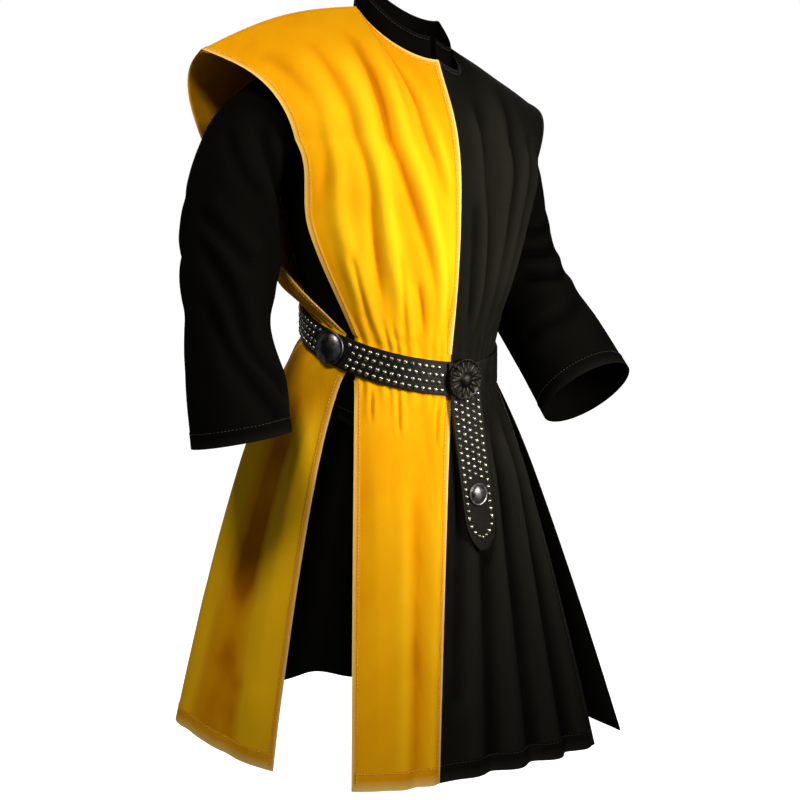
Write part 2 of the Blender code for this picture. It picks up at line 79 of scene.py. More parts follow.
# How far each side of the neckline lies below the other, and how far each shoulder seam bows up
NECK_TILT = {RIGHT: 0.0, LEFT: 0.045}
SHOULDER_BOW = {RIGHT: 0.015, LEFT: -0.004}

# A level of a panel: an arc from its centre seam to its side edge
Level = namedtuple("Level", "half_width depth edge_angle centre_z edge_z")
LEVELS = {
    (FRONT, RIGHT): [
        Level(0.262, 0.128, 60, -0.182, -0.185),
        Level(0.228, 0.134, 63, -0.305, -0.305),
    ],
    (FRONT, LEFT): [
        Level(0.235, 0.128, 66, -0.182, -0.215),
        Level(0.205, 0.134, 67, -0.305, -0.315),
    ],
    (BACK, RIGHT): [
        Level(0.337, 0.152, 60, -0.150, -0.165),
        Level(0.240, 0.166, 58, -0.290, -0.290),
        Level(0.190, 0.142, 92, -0.375, -0.378),
    ],
    (BACK, LEFT): [
        Level(0.302, 0.152, 58, -0.150, -0.215),
        Level(0.232, 0.166, 56, -0.290, -0.300),
        Level(0.190, 0.142, 92, -0.375, -0.380),
    ],
}
WAIST_EDGE_ANGLE = {FRONT: 59, BACK: 115}

# The hem in plan: a curve from the centre seam to the side edge, with the bend of each end.
# A flare under 1 spreads the skirt soon below the belt and then lets it hang.
Hem = namedtuple("Hem", "centre centre_bend edge_bend edge centre_z edge_z flare")
HEMS = {
    (FRONT, RIGHT): Hem((-0.040, -0.140), (-0.075, -0.140), (-0.118, -0.122), (-0.155, -0.088),
                        centre_z=-1.093, edge_z=-1.095, flare=0.82),
    (FRONT, LEFT): Hem((-0.040, -0.140), (0.060, -0.150), (0.160, -0.155), (0.262, -0.140),
                       centre_z=-1.093, edge_z=-1.094, flare=0.82),
    (BACK, RIGHT): Hem((0.000, 0.330), (-0.130, 0.365), (-0.285, 0.310), (-0.180, 0.070),
                       centre_z=-1.056, edge_z=-1.101, flare=0.70),
    (BACK, LEFT): Hem((0.000, 0.330), (0.160, 0.340), (0.340, 0.150), (0.372, -0.085),
                      centre_z=-1.056, edge_z=-1.108, flare=0.86),
}

# A fold runs from one place on a panel to another: across and down at its start and end
Fold = namedtuple("Fold", "across_start down_start across_end down_end half_width height")
FOLDS = {
    (FRONT, RIGHT): [
        Fold(0.78, 0.06, 0.75, 0.50, 0.070, 0.005),
        Fold(0.58, 0.05, 0.42, 0.50, 0.066, 0.008),
        Fold(0.37, 0.05, 0.12, 0.50, 0.055, 0.007),
        Fold(0.14, 0.10, 0.03, 0.50, 0.040, 0.004),
        Fold(0.80, 0.60, 0.82, 1.20, 0.110, 0.003),
        Fold(0.46, 0.60, 0.48, 1.20, 0.100, 0.004),
        Fold(0.12, 0.60, 0.14, 1.20, 0.080, 0.003),
    ],
    (FRONT, LEFT): [
        Fold(0.12, 0.08, 0.22, 0.50, 0.045, 0.007),
        Fold(0.30, 0.06, 0.38, 0.50, 0.055, 0.007),
        Fold(0.54, 0.10, 0.54, 0.50, 0.060, 0.006),
        Fold(0.78, 0.14, 0.74, 0.50, 0.060, 0.005),
        Fold(0.20, 0.60, 0.20, 1.20, 0.070, 0.005),
        Fold(0.42, 0.57, 0.46, 1.20, 0.070, 0.008),
        Fold(0.66, 0.57, 0.70, 1.20, 0.070, 0.011),
        Fold(0.90, 0.57, 0.91, 1.20, 0.050, 0.008),
    ],
    (BACK, RIGHT): [
        Fold(0.16, 0.10, 0.14, 0.50, 0.055, 0.008),
        Fold(0.36, 0.10, 0.30, 0.50, 0.055, 0.008),
        Fold(0.58, 0.14, 0.48, 0.50, 0.055, 0.007),
        Fold(0.14, 0.57, 0.16, 1.20, 0.065, 0.013),
        Fold(0.38, 0.57, 0.38, 1.20, 0.070, 0.012),
        Fold(0.60, 0.58, 0.58, 1.20, 0.090, 0.012),
        Fold(0.92, 0.57, 0.94, 1.02, 0.055, 0.011),
    ],
    (BACK, LEFT): [
        Fold(0.16, 0.10, 0.14, 0.50, 0.055, 0.008),
        Fold(0.38, 0.10, 0.31, 0.50, 0.055, 0.008),
        Fold(0.60, 0.14, 0.49, 0.50, 0.055, 0.007),
        Fold(0.14, 0.57, 0.17, 1.20, 0.065, 0.013),
        Fold(0.36, 0.57, 0.40, 1.20, 0.070, 0.015),
        Fold(0.60, 0.57, 0.62, 1.20, 0.065, 0.014),
        Fold(0.84, 0.57, 0.84, 1.20, 0.055, 0.009),
    ],
}
FOLD_EASE = 0.10

# Small gathers under the belt, flat beside the centre seam
BELT_FOLDS = 9
BELT_FOLD_HEIGHT = 0.0025
SEAM_FLAT = 0.10

# Under-tunic: neck, then levels from the armpit down, a little inside the surcoat
UNDER_NECK_SHARE = 0.5
UNDER_NECK_HALF_WIDTH = 0.074
UNDER_NECK_FRONT = (0.078, 0.072)
UNDER_NECK_BACK = (0.055, 0.006)
UNDER_NECK_Z = -0.0060
UNDER_CHEST_DEPTH = {FRONT: 0.112, BACK: 0.118}
UNDER_WAIST_GAP = 0.0010
UNDER_HEM_DROP = 0.105
UNDER_HEM_INSET = 0.018
UNDER_CENTRE_TOP = -0.072
UNDER_CENTRE_RUN = 0.178
UNDER_ARM_TURNS = [0.36, 0.68, 1.0]
UNDER_SEAM_START = 0.8

# Where each armhole lies: distance out, back, top, bottom and half depth
Armhole = namedtuple("Armhole", "out back top bottom half_depth")
ARMHOLES = {
    RIGHT: Armhole(0.190, 0.012, -0.066, -0.238, 0.052),
    LEFT: Armhole(0.186, 0.018, -0.098, -0.256, 0.050),
}
SLEEVE_CLEAR = UNDER_WALL * 1.2

# Sleeve rings: centre, swing from upright (0) to level (90), forward bend, half sizes
Ring = namedtuple("Ring", "out back z swing bend half_width half_depth")
SLEEVES = {
    RIGHT: [
        Ring(0.243, 0.012, -0.188, 36, 0, 0.066, 0.056),
        Ring(0.267, 0.013, -0.222, 62, 0, 0.062, 0.058),
        Ring(0.278, 0.015, -0.270, 84, 0, 0.066, 0.062),
        Ring(0.281, 0.016, -0.350, 88, 0, 0.070, 0.066),
        Ring(0.288, 0.014, -0.435, 92, 2, 0.058, 0.061),
        Ring(0.282, 0.006, -0.515, 94, 6, 0.069, 0.066),
        Ring(0.279, -0.004, -0.592, 96, 8, 0.071, 0.067),
    ],
    LEFT: [
        Ring(0.220, 0.023, -0.216, 36, 0, 0.056, 0.052),
        Ring(0.231, 0.033, -0.250, 62, 4, 0.054, 0.055),
        Ring(0.245, 0.043, -0.298, 82, 8, 0.058, 0.060),
        Ring(0.262, 0.049, -0.360, 86, 16, 0.064, 0.064),
        Ring(0.273, 0.018, -0.430, 86, 30, 0.068, 0.068),
        Ring(0.283, -0.030, -0.490, 86, 40, 0.072, 0.070),
        Ring(0.290, -0.088, -0.562, 86, 43, 0.075, 0.072),
    ],
}

# Stand collar
COLLAR_HEIGHT = {FRONT: 0.036, BACK: 0.040}
COLLAR_LEAN = 0.10
COLLAR_SLIT = 0.010

# Belt, its hanging end and its conchos
BELT_WIDTH = 0.048
BELT_CLEAR = SURCOAT_WALL + BELT_FOLD_HEIGHT + SEAM_GAP * 2
END_TOP = (0.016, -0.495)
END_TIP = (0.040, -0.765)
END_WIDTH = 0.056
END_LEAN = 0.018
END_FREE = 0.25
END_ROUND_START = 0.80
END_TIP_SHARE = 0.28
BUCKLE_RADIUS = 0.030
BUCKLE_HEIGHT = 0.009
SIDE_CONCHO_RADIUS = 0.024
SIDE_CONCHO_HEIGHT = 0.008
SIDE_CONCHO_ANGLE = 75
END_CONCHO_RADIUS = 0.0165
END_CONCHO_HEIGHT = 0.006
END_CONCHO_PLACE = 0.70

# How creases and gathers shape the cloth: counts, and shares of a length or of a crease's half width
CREASE_EASE = 0.22
CREASE_STEPS = 24
HEM_REACH = 0.25
BANK_PLACE = 2.3
BANK_WIDTH = 1.5
BANK_SHARE = 0.35
GATHER_REACH = {"above": 0.055, "below": 0.024}
GATHER_WAVER = 0.22
GATHER_WAVES = 2.3
TOP_FLAT = 0.05

# Wrinkle layers, in metres, and how far apart in the noise the front's and the back's are taken
Wrinkle = namedtuple("Wrinkle", "across down rise")
WRINKLES = [Wrinkle(0.085, 0.400, 0.0012), Wrinkle(0.030, 0.150, 0.0002)]
WRINKLE_APART = 10

# Grids, strips and stitches; sizes in metres
PANEL_COLUMNS = 88
UPPER_ROWS = 84
BAND_ROWS = 6
SKIRT_ROWS = 72
UNDER_COLUMNS = 72
UNDER_ARM_ROWS = 30
UNDER_BODY_ROWS = 42
SLEEVE_SIDES = 84
SLEEVE_ROWS = 110
COLLAR_COLUMNS = 120
COLLAR_ROWS = 10
STRIP_STATIONS = 130
STRIP_SINK = 0.0001
STRIP_WALL = 0.0008
STRIP_SHARES = [0.0, 0.30, 0.60, 1.0]
# How strongly each row of a turned edge is tinted with a painted highlight, strongest at the fold
STRIP_EDGE_HIGHLIGHT = [1.0, 0.35, 0.0, 0.0]
EDGE_WRAP = 0.0007
EDGE_WIDTH = 0.009
HEM_WIDTH = 0.026
CUFF_WIDTH = 0.022
COLLAR_EDGE = 0.006
STITCH_STATIONS = 400
STITCH_PITCH = 0.0052
STITCH_LENGTH = 0.0034
STITCH_WIDTH = 0.0007
STITCH_IN = 0.002
BEVEL_ANGLE = 50
BEVEL_SEGMENTS = 2
MERGE = 0.00001

# Where cloth lies flat, as shares of a sleeve's length or of a panel's width and length.
# The under-tunic's wrinkles fade out below the armhole, where the surcoat covers it.
SLEEVE_HEAD_FLAT = 0.12
UNDER_SIDE_FLAT = 0.12
UNDER_FADE_END = 1.2
UNDER_FADE = 0.3
BELT_SLACK = 0.004

# Shoulder tape: where it starts and reaches, as shares of the panel, and its drop below the seam
TAPE_START = 0.55
TAPE_REACH = 0.008
TAPE_DROP = 0.0012
TAPE_WALL = 0.0005
TAPE_STATIONS = 24

# Belt grid, studs and conchos; the stagger is a share of the studs' pitch
BELT_SIDES = 180
END_COLUMNS = 10
END_ROWS = 72
BELT_BEVEL = 0.0009
STUD_PITCH = 0.0104
STUD_RADIUS = 0.0037
STUD_RISE = 0.75
STUD_ROWS = [-0.0159, -0.0053, 0.0053, 0.0159]
END_STUD_COLUMNS = [-0.0208, -0.0104, 0.0, 0.0104, 0.0208]
STUD_ROOM = 0.0035
TIP_STUDS = 9
PLAIN_LAP = 0.20
STUD_FINENESS = 2
STUD_STAGGER = 0.5
BELT_STATIONS = BELT_SIDES * 8
CONCHO_STEPS = 48

# Turned conchos: shares of radius and height from the centre of the flat back over the rim to the top
DOME_PROFILE = [
    (0.0, 0.0), (0.97, 0.0), (1.0, 0.08), (1.0, 0.26), (0.96, 0.38), (0.90, 0.38), (0.86, 0.28),
    (0.82, 0.30), (0.76, 0.48), (0.66, 0.66), (0.52, 0.82), (0.36, 0.93), (0.18, 0.985), (0.0, 1.0),
]
ROSETTE_PROFILE = [
    (0.0, 0.0), (0.97, 0.0), (1.0, 0.08), (1.0, 0.30), (0.96, 0.42), (0.91, 0.42), (0.87, 0.30),
    (0.60, 0.36), (0.40, 0.40), (0.34, 0.58), (0.26, 0.82), (0.14, 0.96), (0.0, 1.0),
]

# Rings of balls on the rosette: how many, how finely made, where each lies and its half sizes.
# Lengths out and across are shares of the plate's radius, and rises are shares of its height.
Balls = namedtuple("Balls", "count fineness out rise half_length half_width half_rise")
PETALS = Balls(14, 3, 0.62, 0.36, 0.25, 0.10, 0.16)
RIM_BEADS = Balls(26, 2, 0.935, 0.42, 0.06, 0.06, 0.06 * BUCKLE_RADIUS / BUCKLE_HEIGHT)

# Where studs lie on the hanging end: shares of its length, of a pitch and of its width, and how far out
# a column has to be to go on past the concho
END_STUD_START = 0.16
END_STUD_STOP = 0.83
END_STUD_SHIFT = 0.4
OUTER_COLUMN = STUD_PITCH * 1.5
TIP_STUD_INSET = 0.12
TIP_STUD_DROP = 0.10

# Camera and studio
AIM = (0.0, 0.0, -0.56)
CAMERA_AZIMUTH = radians(-38)
CAMERA_REACH = 2.8
CAMERA_Z = -0.20
CAMERA_PLACE = (CAMERA_REACH * sin(CAMERA_AZIMUTH), -CAMERA_REACH * cos(CAMERA_AZIMUTH), CAMERA_Z)
CAMERA_LENS = 87
SENSOR_WIDTH = 36
FLOOR_Z = -1.50
FLOOR_SIZE = 12.0
FILL_STRENGTH = 0.10
FLOOR_GLOW = 1.0

# Lights: where each stands and what it is aimed at, its size, its spread in degrees, power and colour
Light = namedtuple("Light", "name place target size spread power colour")
LIGHTS = [
    Light("key", (0.32, -1.05, -0.24), (0.00, -0.10, -0.42), 0.5, 72, 3.3, "#fff4e2"),
    Light("side", (-1.55, -1.10, 1.25), (-0.10, 0.00, -0.45), 0.5, 150, 25, "#fff4e2"),
    Light("back", (1.20, 2.10, 0.80), (0.0, 0.10, -0.56), 1.6, 150, 34, "#ffffff"),
]

# Pattern sizes in mm. The twill ribs are about three times their real width so that they show.
# Blender's wave pattern repeats every 2 pi / 20 units at a scale of 1.
WAVE_PERIOD_MM = 1000 * 2 * pi / 20
TWILL_MM = 2.2
COTTON_MM = 1.6
NAP_MM = 3.0
FADE_MM = 110
PEBBLE_MM = 1.6
RUB_MM = 22
METAL_RUB_MM = 9
PIT_MM = 1.2
STRAND_MM = 1.5
PAPER_GRAIN_MM = 25

# How many finer layers each pattern has, and the slant, waver and tint of the twill ribs
NAP_DETAIL = 3.0
FADE_DETAIL = 4.0
RUB_DETAIL = 5.0
METAL_RUB_DETAIL = 4.0
PIT_DETAIL = 2.0
STRAND_DETAIL = 1.0
RIB_DETAIL = 2.0
RIB_DETAIL_SCALE = 2.0
RIB_SLANT = 58
RIB_WAVER = 1.2
RIB_TINT = 0.10

# Painted shade and highlight: the tone of cloth follows its relief, darker in the hollows and lighter on the
# ridges of its folds.
# The range runs from hollows to ridges in metres, mixed with a cloudy fading
Range = namedtuple("Range", "low high")
RELIEF = Range(-0.004, 0.011)
RELIEF_SHARE = 0.62

# Where the tones of each finish lie on its pattern, which runs from 0 to 1; on cloth the lowest tone is
# painted shade and the highest a painted highlight
HOLLOW_SHADE_TONE, MAIN_TONE, RIDGE_HIGHLIGHT_TONE = 0.16, 0.33, 0.64
LEATHER_TONES = (0.35, 0.75)
STEEL_TONES = (0.35, 0.70)
THREAD_TONES = (0.35, 0.65)

# Roughness from the smoothest to the dullest, bumps by strength and depth in metres, and the paper's tone
Bump = namedtuple("Bump", "strength depth")
TWILL_ROUGH = Range(0.78, 0.95)
TWILL_BUMP = Bump(0.35, 0.0004)
LEATHER_ROUGH = Range(0.42, 0.66)
LEATHER_BUMP = Bump(0.4, 0.0003)
STEEL_BUMP = Bump(0.15, 0.0004)
THREAD_ROUGH = 0.6
PAPER_ROUGH = 0.9
PAPER_TONE = Range(0.90, 0.94)

# Cloths: tones of their painted shade in hollows, body, painted highlight on ridges and painted highlight on
# turned edges, the spacing of their ribs and their gloss
Cloth = namedtuple("Cloth", "name deep main worn edge rib_mm gloss")
YELLOW_TWILL = Cloth("yellow_cotton_twill", "#bd7000", "#e9a002", "#fac314", "#ffe08a", TWILL_MM, 0.06)
BLACK_TWILL = Cloth("black_cotton_twill", "#090908", "#11110e", "#1c1c19", "#282824", TWILL_MM, 0.04)
SHIRTING = Cloth("black_cotton_shirting", "#040404", "#080807", "#0f0f0d", "#151513", COTTON_MM, 0.02)

# Steels: tones of the blackened and the bare metal, and the roughness of the bare and the blackened
Steel = namedtuple("Steel", "name dark bare smooth dull")
STUD_STEEL = Steel("stud_steel_rubbed", "#6b6b63", "#c4c4ba", 0.20, 0.34)
CAST_STEEL = Steel("blackened_cast_steel", "#161615", "#383835", 0.42, 0.58)
CONCHO_STEEL = Steel("polished_black_steel", "#3e3e44", "#94949a", 0.30, 0.44)

# Leather: its dark and rubbed tones, and the gloss of its wax
LEATHER_COLOURS = ("#070706", "#141412")
LEATHER_GLOSS = 0.16

# Sizes across and down of a panel, a sleeve and half an under-tunic panel, for their creases and wrinkles
PANEL_SIZE = (0.32, 1.16)
SLEEVE_SIZE = (0.42, 0.56)
UNDER_SIZE = (0.24, 0.35)

# A crease is a sharp hollow along a line of (across, down) places, with cloth pushed up beside it
Crease = namedtuple("Crease", "line half_width depth")
CREASES = {
    (FRONT, RIGHT): [
        Crease([(0.68, 0.03), (0.63, 0.12), (0.575, 0.22), (0.55, 0.29), (0.57, 0.37), (0.63, 0.46)],
               0.010, 0.0056),
        Crease([(0.47, 0.02), (0.44, 0.12), (0.32, 0.265), (0.19, 0.395), (0.16, 0.46)], 0.010, 0.0060),
        Crease([(0.275, 0.03), (0.20, 0.09), (0.18, 0.165), (0.13, 0.24), (0.07, 0.32)], 0.008, 0.0048),
        Crease([(0.88, 0.03), (0.84, 0.09), (0.81, 0.14), (0.84, 0.24), (0.88, 0.29)], 0.014, 0.0024),
        Crease([(0.42, 0.36), (0.43, 0.42), (0.46, 0.49)], 0.008, 0.0032),
        Crease([(0.30, 0.40), (0.28, 0.45), (0.29, 0.49)], 0.007, 0.0034),
        Crease([(0.74, 0.36), (0.76, 0.43), (0.79, 0.49)], 0.009, 0.0030),
        Crease([(0.07, 0.38), (0.06, 0.49)], 0.007, 0.0030),
        Crease([(0.28, 0.478), (0.45, 0.486), (0.62, 0.480)], 0.005, 0.0022),
        Crease([(0.55, 0.552), (0.54, 0.60)], 0.006, 0.0030),
        Crease([(0.13, 0.552), (0.14, 0.61)], 0.006, 0.0034),
        Crease([(0.82, 0.552), (0.83, 0.59)], 0.006, 0.0022),
        Crease([(0.42, 0.62), (0.36, 0.80), (0.34, 1.00)], 0.028, 0.0030),
        Crease([(0.84, 0.62), (0.82, 0.80), (0.82, 1.00)], 0.026, 0.0016),
    ],
    (FRONT, LEFT): [
        Crease([(0.19, 0.05), (0.17, 0.22), (0.22, 0.34), (0.30, 0.45)], 0.009, 0.0060),
        Crease([(0.10, 0.28), (0.14, 0.40), (0.19, 0.48)], 0.008, 0.0050),
        Crease([(0.42, 0.07), (0.44, 0.22), (0.47, 0.40)], 0.010, 0.0050),
        Crease([(0.66, 0.12), (0.66, 0.28), (0.63, 0.45)], 0.010, 0.0044),
        Crease([(0.72, 0.44), (0.58, 0.47), (0.42, 0.485)], 0.006, 0.0030),
        Crease([(0.88, 0.18), (0.86, 0.34), (0.88, 0.46)], 0.009, 0.0036),
        Crease([(0.30, 0.56), (0.32, 0.74), (0.32, 1.00)], 0.016, 0.0066),
        Crease([(0.54, 0.56), (0.56, 0.72), (0.58, 1.00)], 0.018, 0.0075),
        Crease([(0.78, 0.56), (0.80, 0.74), (0.81, 1.00)], 0.016, 0.0070),
        Crease([(0.10, 0.56), (0.11, 0.68), (0.10, 0.90)], 0.012, 0.0044),
    ],
    (BACK, RIGHT): [
        Crease([(0.26, 0.08), (0.25, 0.24), (0.21, 0.46)], 0.010, 0.0056),
        Crease([(0.47, 0.08), (0.46, 0.24), (0.38, 0.47)], 0.010, 0.0056),
        Crease([(0.70, 0.10), (0.68, 0.26), (0.57, 0.46)], 0.009, 0.0046),
        Crease([(0.06, 0.20), (0.07, 0.34), (0.06, 0.46)], 0.008, 0.0036),
        Crease([(0.27, 0.56), (0.26, 0.74), (0.27, 1.00)], 0.020, 0.0080),
        Crease([(0.47, 0.56), (0.48, 0.74), (0.46, 1.00)], 0.020, 0.0080),
        Crease([(0.80, 0.57), (0.80, 0.68), (0.79, 0.80)], 0.022, 0.0040),
        Crease([(0.80, 0.57), (0.80, 0.74), (0.78, 1.00)], 0.026, 0.0040),
        Crease([(0.68, 0.82), (0.68, 0.90), (0.67, 1.00)], 0.012, 0.0034),
        Crease([(0.88, 0.90), (0.87, 0.95), (0.87, 1.00)], 0.009, 0.0028),
    ],
    (BACK, LEFT): [
        Crease([(0.27, 0.08), (0.26, 0.25), (0.22, 0.46)], 0.010, 0.0056),
        Crease([(0.50, 0.08), (0.47, 0.26), (0.40, 0.47)], 0.010, 0.0056),
        Crease([(0.72, 0.11), (0.69, 0.27), (0.58, 0.46)], 0.009, 0.0046),
        Crease([(0.07, 0.22), (0.06, 0.33), (0.07, 0.45)], 0.008, 0.0036),
        Crease([(0.25, 0.56), (0.27, 0.74), (0.28, 1.00)], 0.020, 0.0080),
        Crease([(0.48, 0.56), (0.50, 0.76), (0.51, 1.00)], 0.020, 0.0085),
        Crease([(0.72, 0.56), (0.74, 0.74), (0.73, 1.00)], 0.018, 0.0075),
        Crease([(0.93, 0.57), (0.94, 0.74), (0.93, 0.98)], 0.012, 0.0050),
    ],
}

# Creases of the sleeves: across is a share of the turn from the outer side round the front
SLEEVE_CREASES = {
    RIGHT: [
        Crease([(0.04, 0.44), (0.14, 0.51), (0.25, 0.59)], 0.009, 0.0050),
        Crease([(0.02, 0.49), (0.13, 0.59), (0.20, 0.70), (0.24, 0.78), (0.35, 0.88)], 0.010, 0.0058),
        Crease([(0.06, 0.62), (0.12, 0.71), (0.18, 0.81), (0.30, 0.95)], 0.010, 0.0050),
        Crease([(0.15, 0.12), (0.29, 0.25), (0.41, 0.43)], 0.011, 0.0060),
        Crease([(0.06, 0.20), (0.16, 0.31), (0.28, 0.42)], 0.009, 0.0036),
        Crease([(0.94, 0.40), (0.86, 0.47), (0.74, 0.52)], 0.010, 0.0046),
        Crease([(0.97, 0.52), (0.86, 0.60), (0.72, 0.64)], 0.010, 0.0050),
        Crease([(0.93, 0.66), (0.84, 0.76), (0.70, 0.84)], 0.010, 0.0044),
        Crease([(0.42, 0.50), (0.54, 0.54), (0.64, 0.50)], 0.009, 0.0050),
        Crease([(0.40, 0.60), (0.52, 0.66), (0.66, 0.62)], 0.009, 0.0046),
        Crease([(0.80, 0.16), (0.70, 0.26), (0.60, 0.40)], 0.011, 0.0050),
    ],
    LEFT: [
        Crease([(0.12, 0.56), (0.24, 0.60), (0.38, 0.58)], 0.009, 0.0060),
        Crease([(0.10, 0.64), (0.22, 0.69), (0.40, 0.66)], 0.009, 0.0060),
        Crease([(0.14, 0.48), (0.26, 0.52), (0.40, 0.50)], 0.009, 0.0050),
        Crease([(0.15, 0.12), (0.26, 0.25), (0.34, 0.41)], 0.011, 0.0050),
        Crease([(0.04, 0.26), (0.10, 0.40), (0.18, 0.52)], 0.010, 0.0040),
        Crease([(0.90, 0.52), (0.80, 0.60), (0.66, 0.62)], 0.010, 0.0046),
        Crease([(0.94, 0.68), (0.84, 0.78), (0.72, 0.84)], 0.010, 0.0044),
        Crease([(0.42, 0.60), (0.52, 0.64), (0.62, 0.60)], 0.009, 0.0050),
        Crease([(0.20, 0.78), (0.30, 0.84), (0.44, 0.84)], 0.010, 0.0040),
        Crease([(0.84, 0.16), (0.74, 0.26), (0.62, 0.38)], 0.011, 0.0046),
    ],
}


def ease(f):
    """A smooth step from 0 to 1."""
    f = np.clip(f, 0.0, 1.0)
    return f * f * (3 - 2 * f)


def points_of(x, y, z):
    """An array of points from three arrays or numbers."""
    return np.stack(np.broadcast_arrays(x, y, z), axis=-1).astype(float)


def spline(rows, place):
    """A smooth curve through rows of points; place runs from 0 to the number of spans."""
    rows = np.stack(rows)
    rows = np.concatenate([rows[:1] * 2 - rows[1:2], rows, rows[-1:] * 2 - rows[-2:-1]])
    first = np.clip(place.astype(int), 0, len(rows) - 4)
    f = (place - first)[:, None]
    each = np.arange(len(place))
    p0, p1, p2, p3 = (rows[first + k, each] for k in range(4))
    square = p0 * 2 - p1 * 5 + p2 * 4 - p3
    cube = p1 * 3 - p0 - p2 * 3 + p3
    return (p1 * 2 + (p2 - p0) * f + square * f ** 2 + cube * f ** 3) * 0.5


def waist_points(angle, half_width, depth, rise=0.0):
    """Points round the waist; the angle is taken from centre front, positive to the left."""
    y = -depth * np.cos(angle)
    x = half_width * np.sin(angle)
    return points_of(x, y, WAIST_Z + WAIST_TILT * y + WAIST_ROLL * x + rise)


def surcoat_top(facing, side, u):
    """The top edge of a panel: the neckline, then the shoulder seam out to its tip."""
    depth, drop = NECK_FRONT if facing == FRONT else NECK_BACK
    turn = np.minimum(u / NECK_SHARE, 1) * pi / 2
    neck = points_of(side * NECK_HALF_WIDTH * np.sin(turn), facing * depth * np.cos(turn),
                     -drop * np.cos(turn) - NECK_TILT[side] * np.sin(turn))
    along = np.maximum(u - NECK_SHARE, 0) / (1 - NECK_SHARE)
    out, back, z = SHOULDER_TIP[side]
    start = np.array((side * NECK_HALF_WIDTH, 0, -NECK_TILT[side]))
    shoulder = start + (np.array((side * out, back, z)) - start) * along[:, None]
    shoulder[:, 2] += SHOULDER_BOW[side] * np.sin(pi * along)
    return np.where((u < NECK_SHARE)[:, None], neck, shoulder)


def surcoat_level(level, facing, side, u):
    """A row across a panel at one of its levels."""
    turn = radians(level.edge_angle) * u
    z = level.centre_z + (level.edge_z - level.centre_z) * u * u
    return points_of(side * level.half_width * np.sin(turn), facing * level.depth * np.cos(turn), z)


def surcoat_waist(facing, side, u, rise):
    """A row across a panel at the waist."""
    turn = radians(WAIST_EDGE_ANGLE[facing]) * u
    angle = turn if facing == FRONT else pi - turn
    return waist_points(side * angle, WAIST_HALF_WIDTH, WAIST_DEPTH, rise)


def surcoat_hem(facing, side, u):
    """The hem of a panel, from its centre seam to its side edge."""
    hem = HEMS[facing, side]
    f = u[:, None]
    g = 1 - f
    centre, centre_bend, edge_bend, edge = (np.array(corner) for corner in hem[:4])
    plan = centre * g ** 3 + centre_bend * 3 * g * g * f + edge_bend * 3 * g * f * f + edge * f ** 3
    return points_of(plan[:, 0], plan[:, 1], hem.centre_z + (hem.edge_z - hem.centre_z) * u * u)


def surcoat_form(facing, side, u, v):
    """A panel's smooth form: over the shoulder to the belt, flat under it, then the skirt."""
    band_top = surcoat_waist(facing, side, u, BAND_HEIGHT / 2)
    band_low = surcoat_waist(facing, side, u, -BAND_HEIGHT / 2)
    rows = [surcoat_top(facing, side, u)]
    rows += [surcoat_level(level, facing, side, u) for level in LEVELS[facing, side]]
    rows.append(band_top)
    place = np.clip(v / BAND_TOP, 0, 1) * (len(rows) - 1)
    round_out = SHOULDER_ROUND * np.sin(pi * np.minimum(place, 1)) * ease((u - SHOULDER_START) / NECK_SHARE)
    upper = spline(rows, place) + round_out[:, None] * np.array((0, facing, 1))
    band_share = np.clip((v - BAND_TOP) / (BAND_LOW - BAND_TOP), 0, 1)[:, None]
    band = band_top + (band_low - band_top) * band_share
    down = np.clip((v - BAND_LOW) / (1 - BAND_LOW), 0, 1)
    hem = surcoat_hem(facing, side, u)
    skirt = band_low + (hem - band_low) * (down ** HEMS[facing, side].flare)[:, None]
    skirt[:, 2] = band_low[:, 2] + (hem[:, 2] - band_low[:, 2]) * down
    below = np.where((v <= BAND_LOW)[:, None], band, skirt)
    return np.where((v <= BAND_TOP)[:, None], upper, below)


def fold_height(folds, u, v):
    """Rounded ridges along the folds."""
    total = np.zeros_like(u)
    for fold in folds:
        length = fold.down_end - fold.down_start
        f = (v - fold.down_start) / length
        middle = fold.across_start + (fold.across_end - fold.across_start) * ease(f)
        ends = ease(f * length / FOLD_EASE) * ease((1 - f) * length / FOLD_EASE)
        total += fold.height * np.exp(-((u - middle) / fold.half_width) ** 2) * ends
    return total


def crease_height(creases, size, u, v):
    """Hollows along the creases, with the pushed-up cloth at their two sides."""
    total = np.zeros_like(u)
    here = np.stack([u * size[0], v * size[1]], axis=-1)
    for crease in creases:
        corners = np.repeat(np.array(crease.line)[:, None] * np.array(size), CREASE_STEPS, axis=1)
        line = spline(corners, np.linspace(0, len(corners) - 1, CREASE_STEPS))
        steps = np.linalg.norm(np.diff(line, axis=0), axis=1)
        starts = np.concatenate([[0], np.cumsum(steps)])
        nearest = np.full(len(u), np.inf)
        along = np.zeros(len(u))
        for a, b, start, step in zip(line, line[1:], starts, steps):
            f = np.clip(((here - a) @ (b - a)) / step ** 2, 0, 1)
            away = np.linalg.norm(here - a - f[:, None] * (b - a), axis=1)
            closer = away < nearest
            nearest = np.where(closer, away, nearest)
            along = np.where(closer, start + f * step, along)
        share = along / starts[-1]
        ends = ease(share / CREASE_EASE) * ease((1 - share) / CREASE_EASE)
        ends = np.where(v > 1 - HEM_REACH, np.maximum(ends, ease(share / CREASE_EASE)), ends)
        across = nearest / crease.half_width
        hollow = np.exp(-across ** 2)
        bank = np.exp(-((across - BANK_PLACE) / BANK_WIDTH) ** 2)
        total += crease.depth * ends * (BANK_SHARE * bank - hollow)
    return total


def wrinkle_height(x, y, run):
    """Soft unevenness of well-used cloth, long down its run and short across it."""
    height = np.zeros_like(run)
    for layer in WRINKLES:
        places = zip(x / layer.across, y / layer.across, run / layer.down)
        height += np.array([noise.noise(place) for place in places]) * layer.rise
    return height


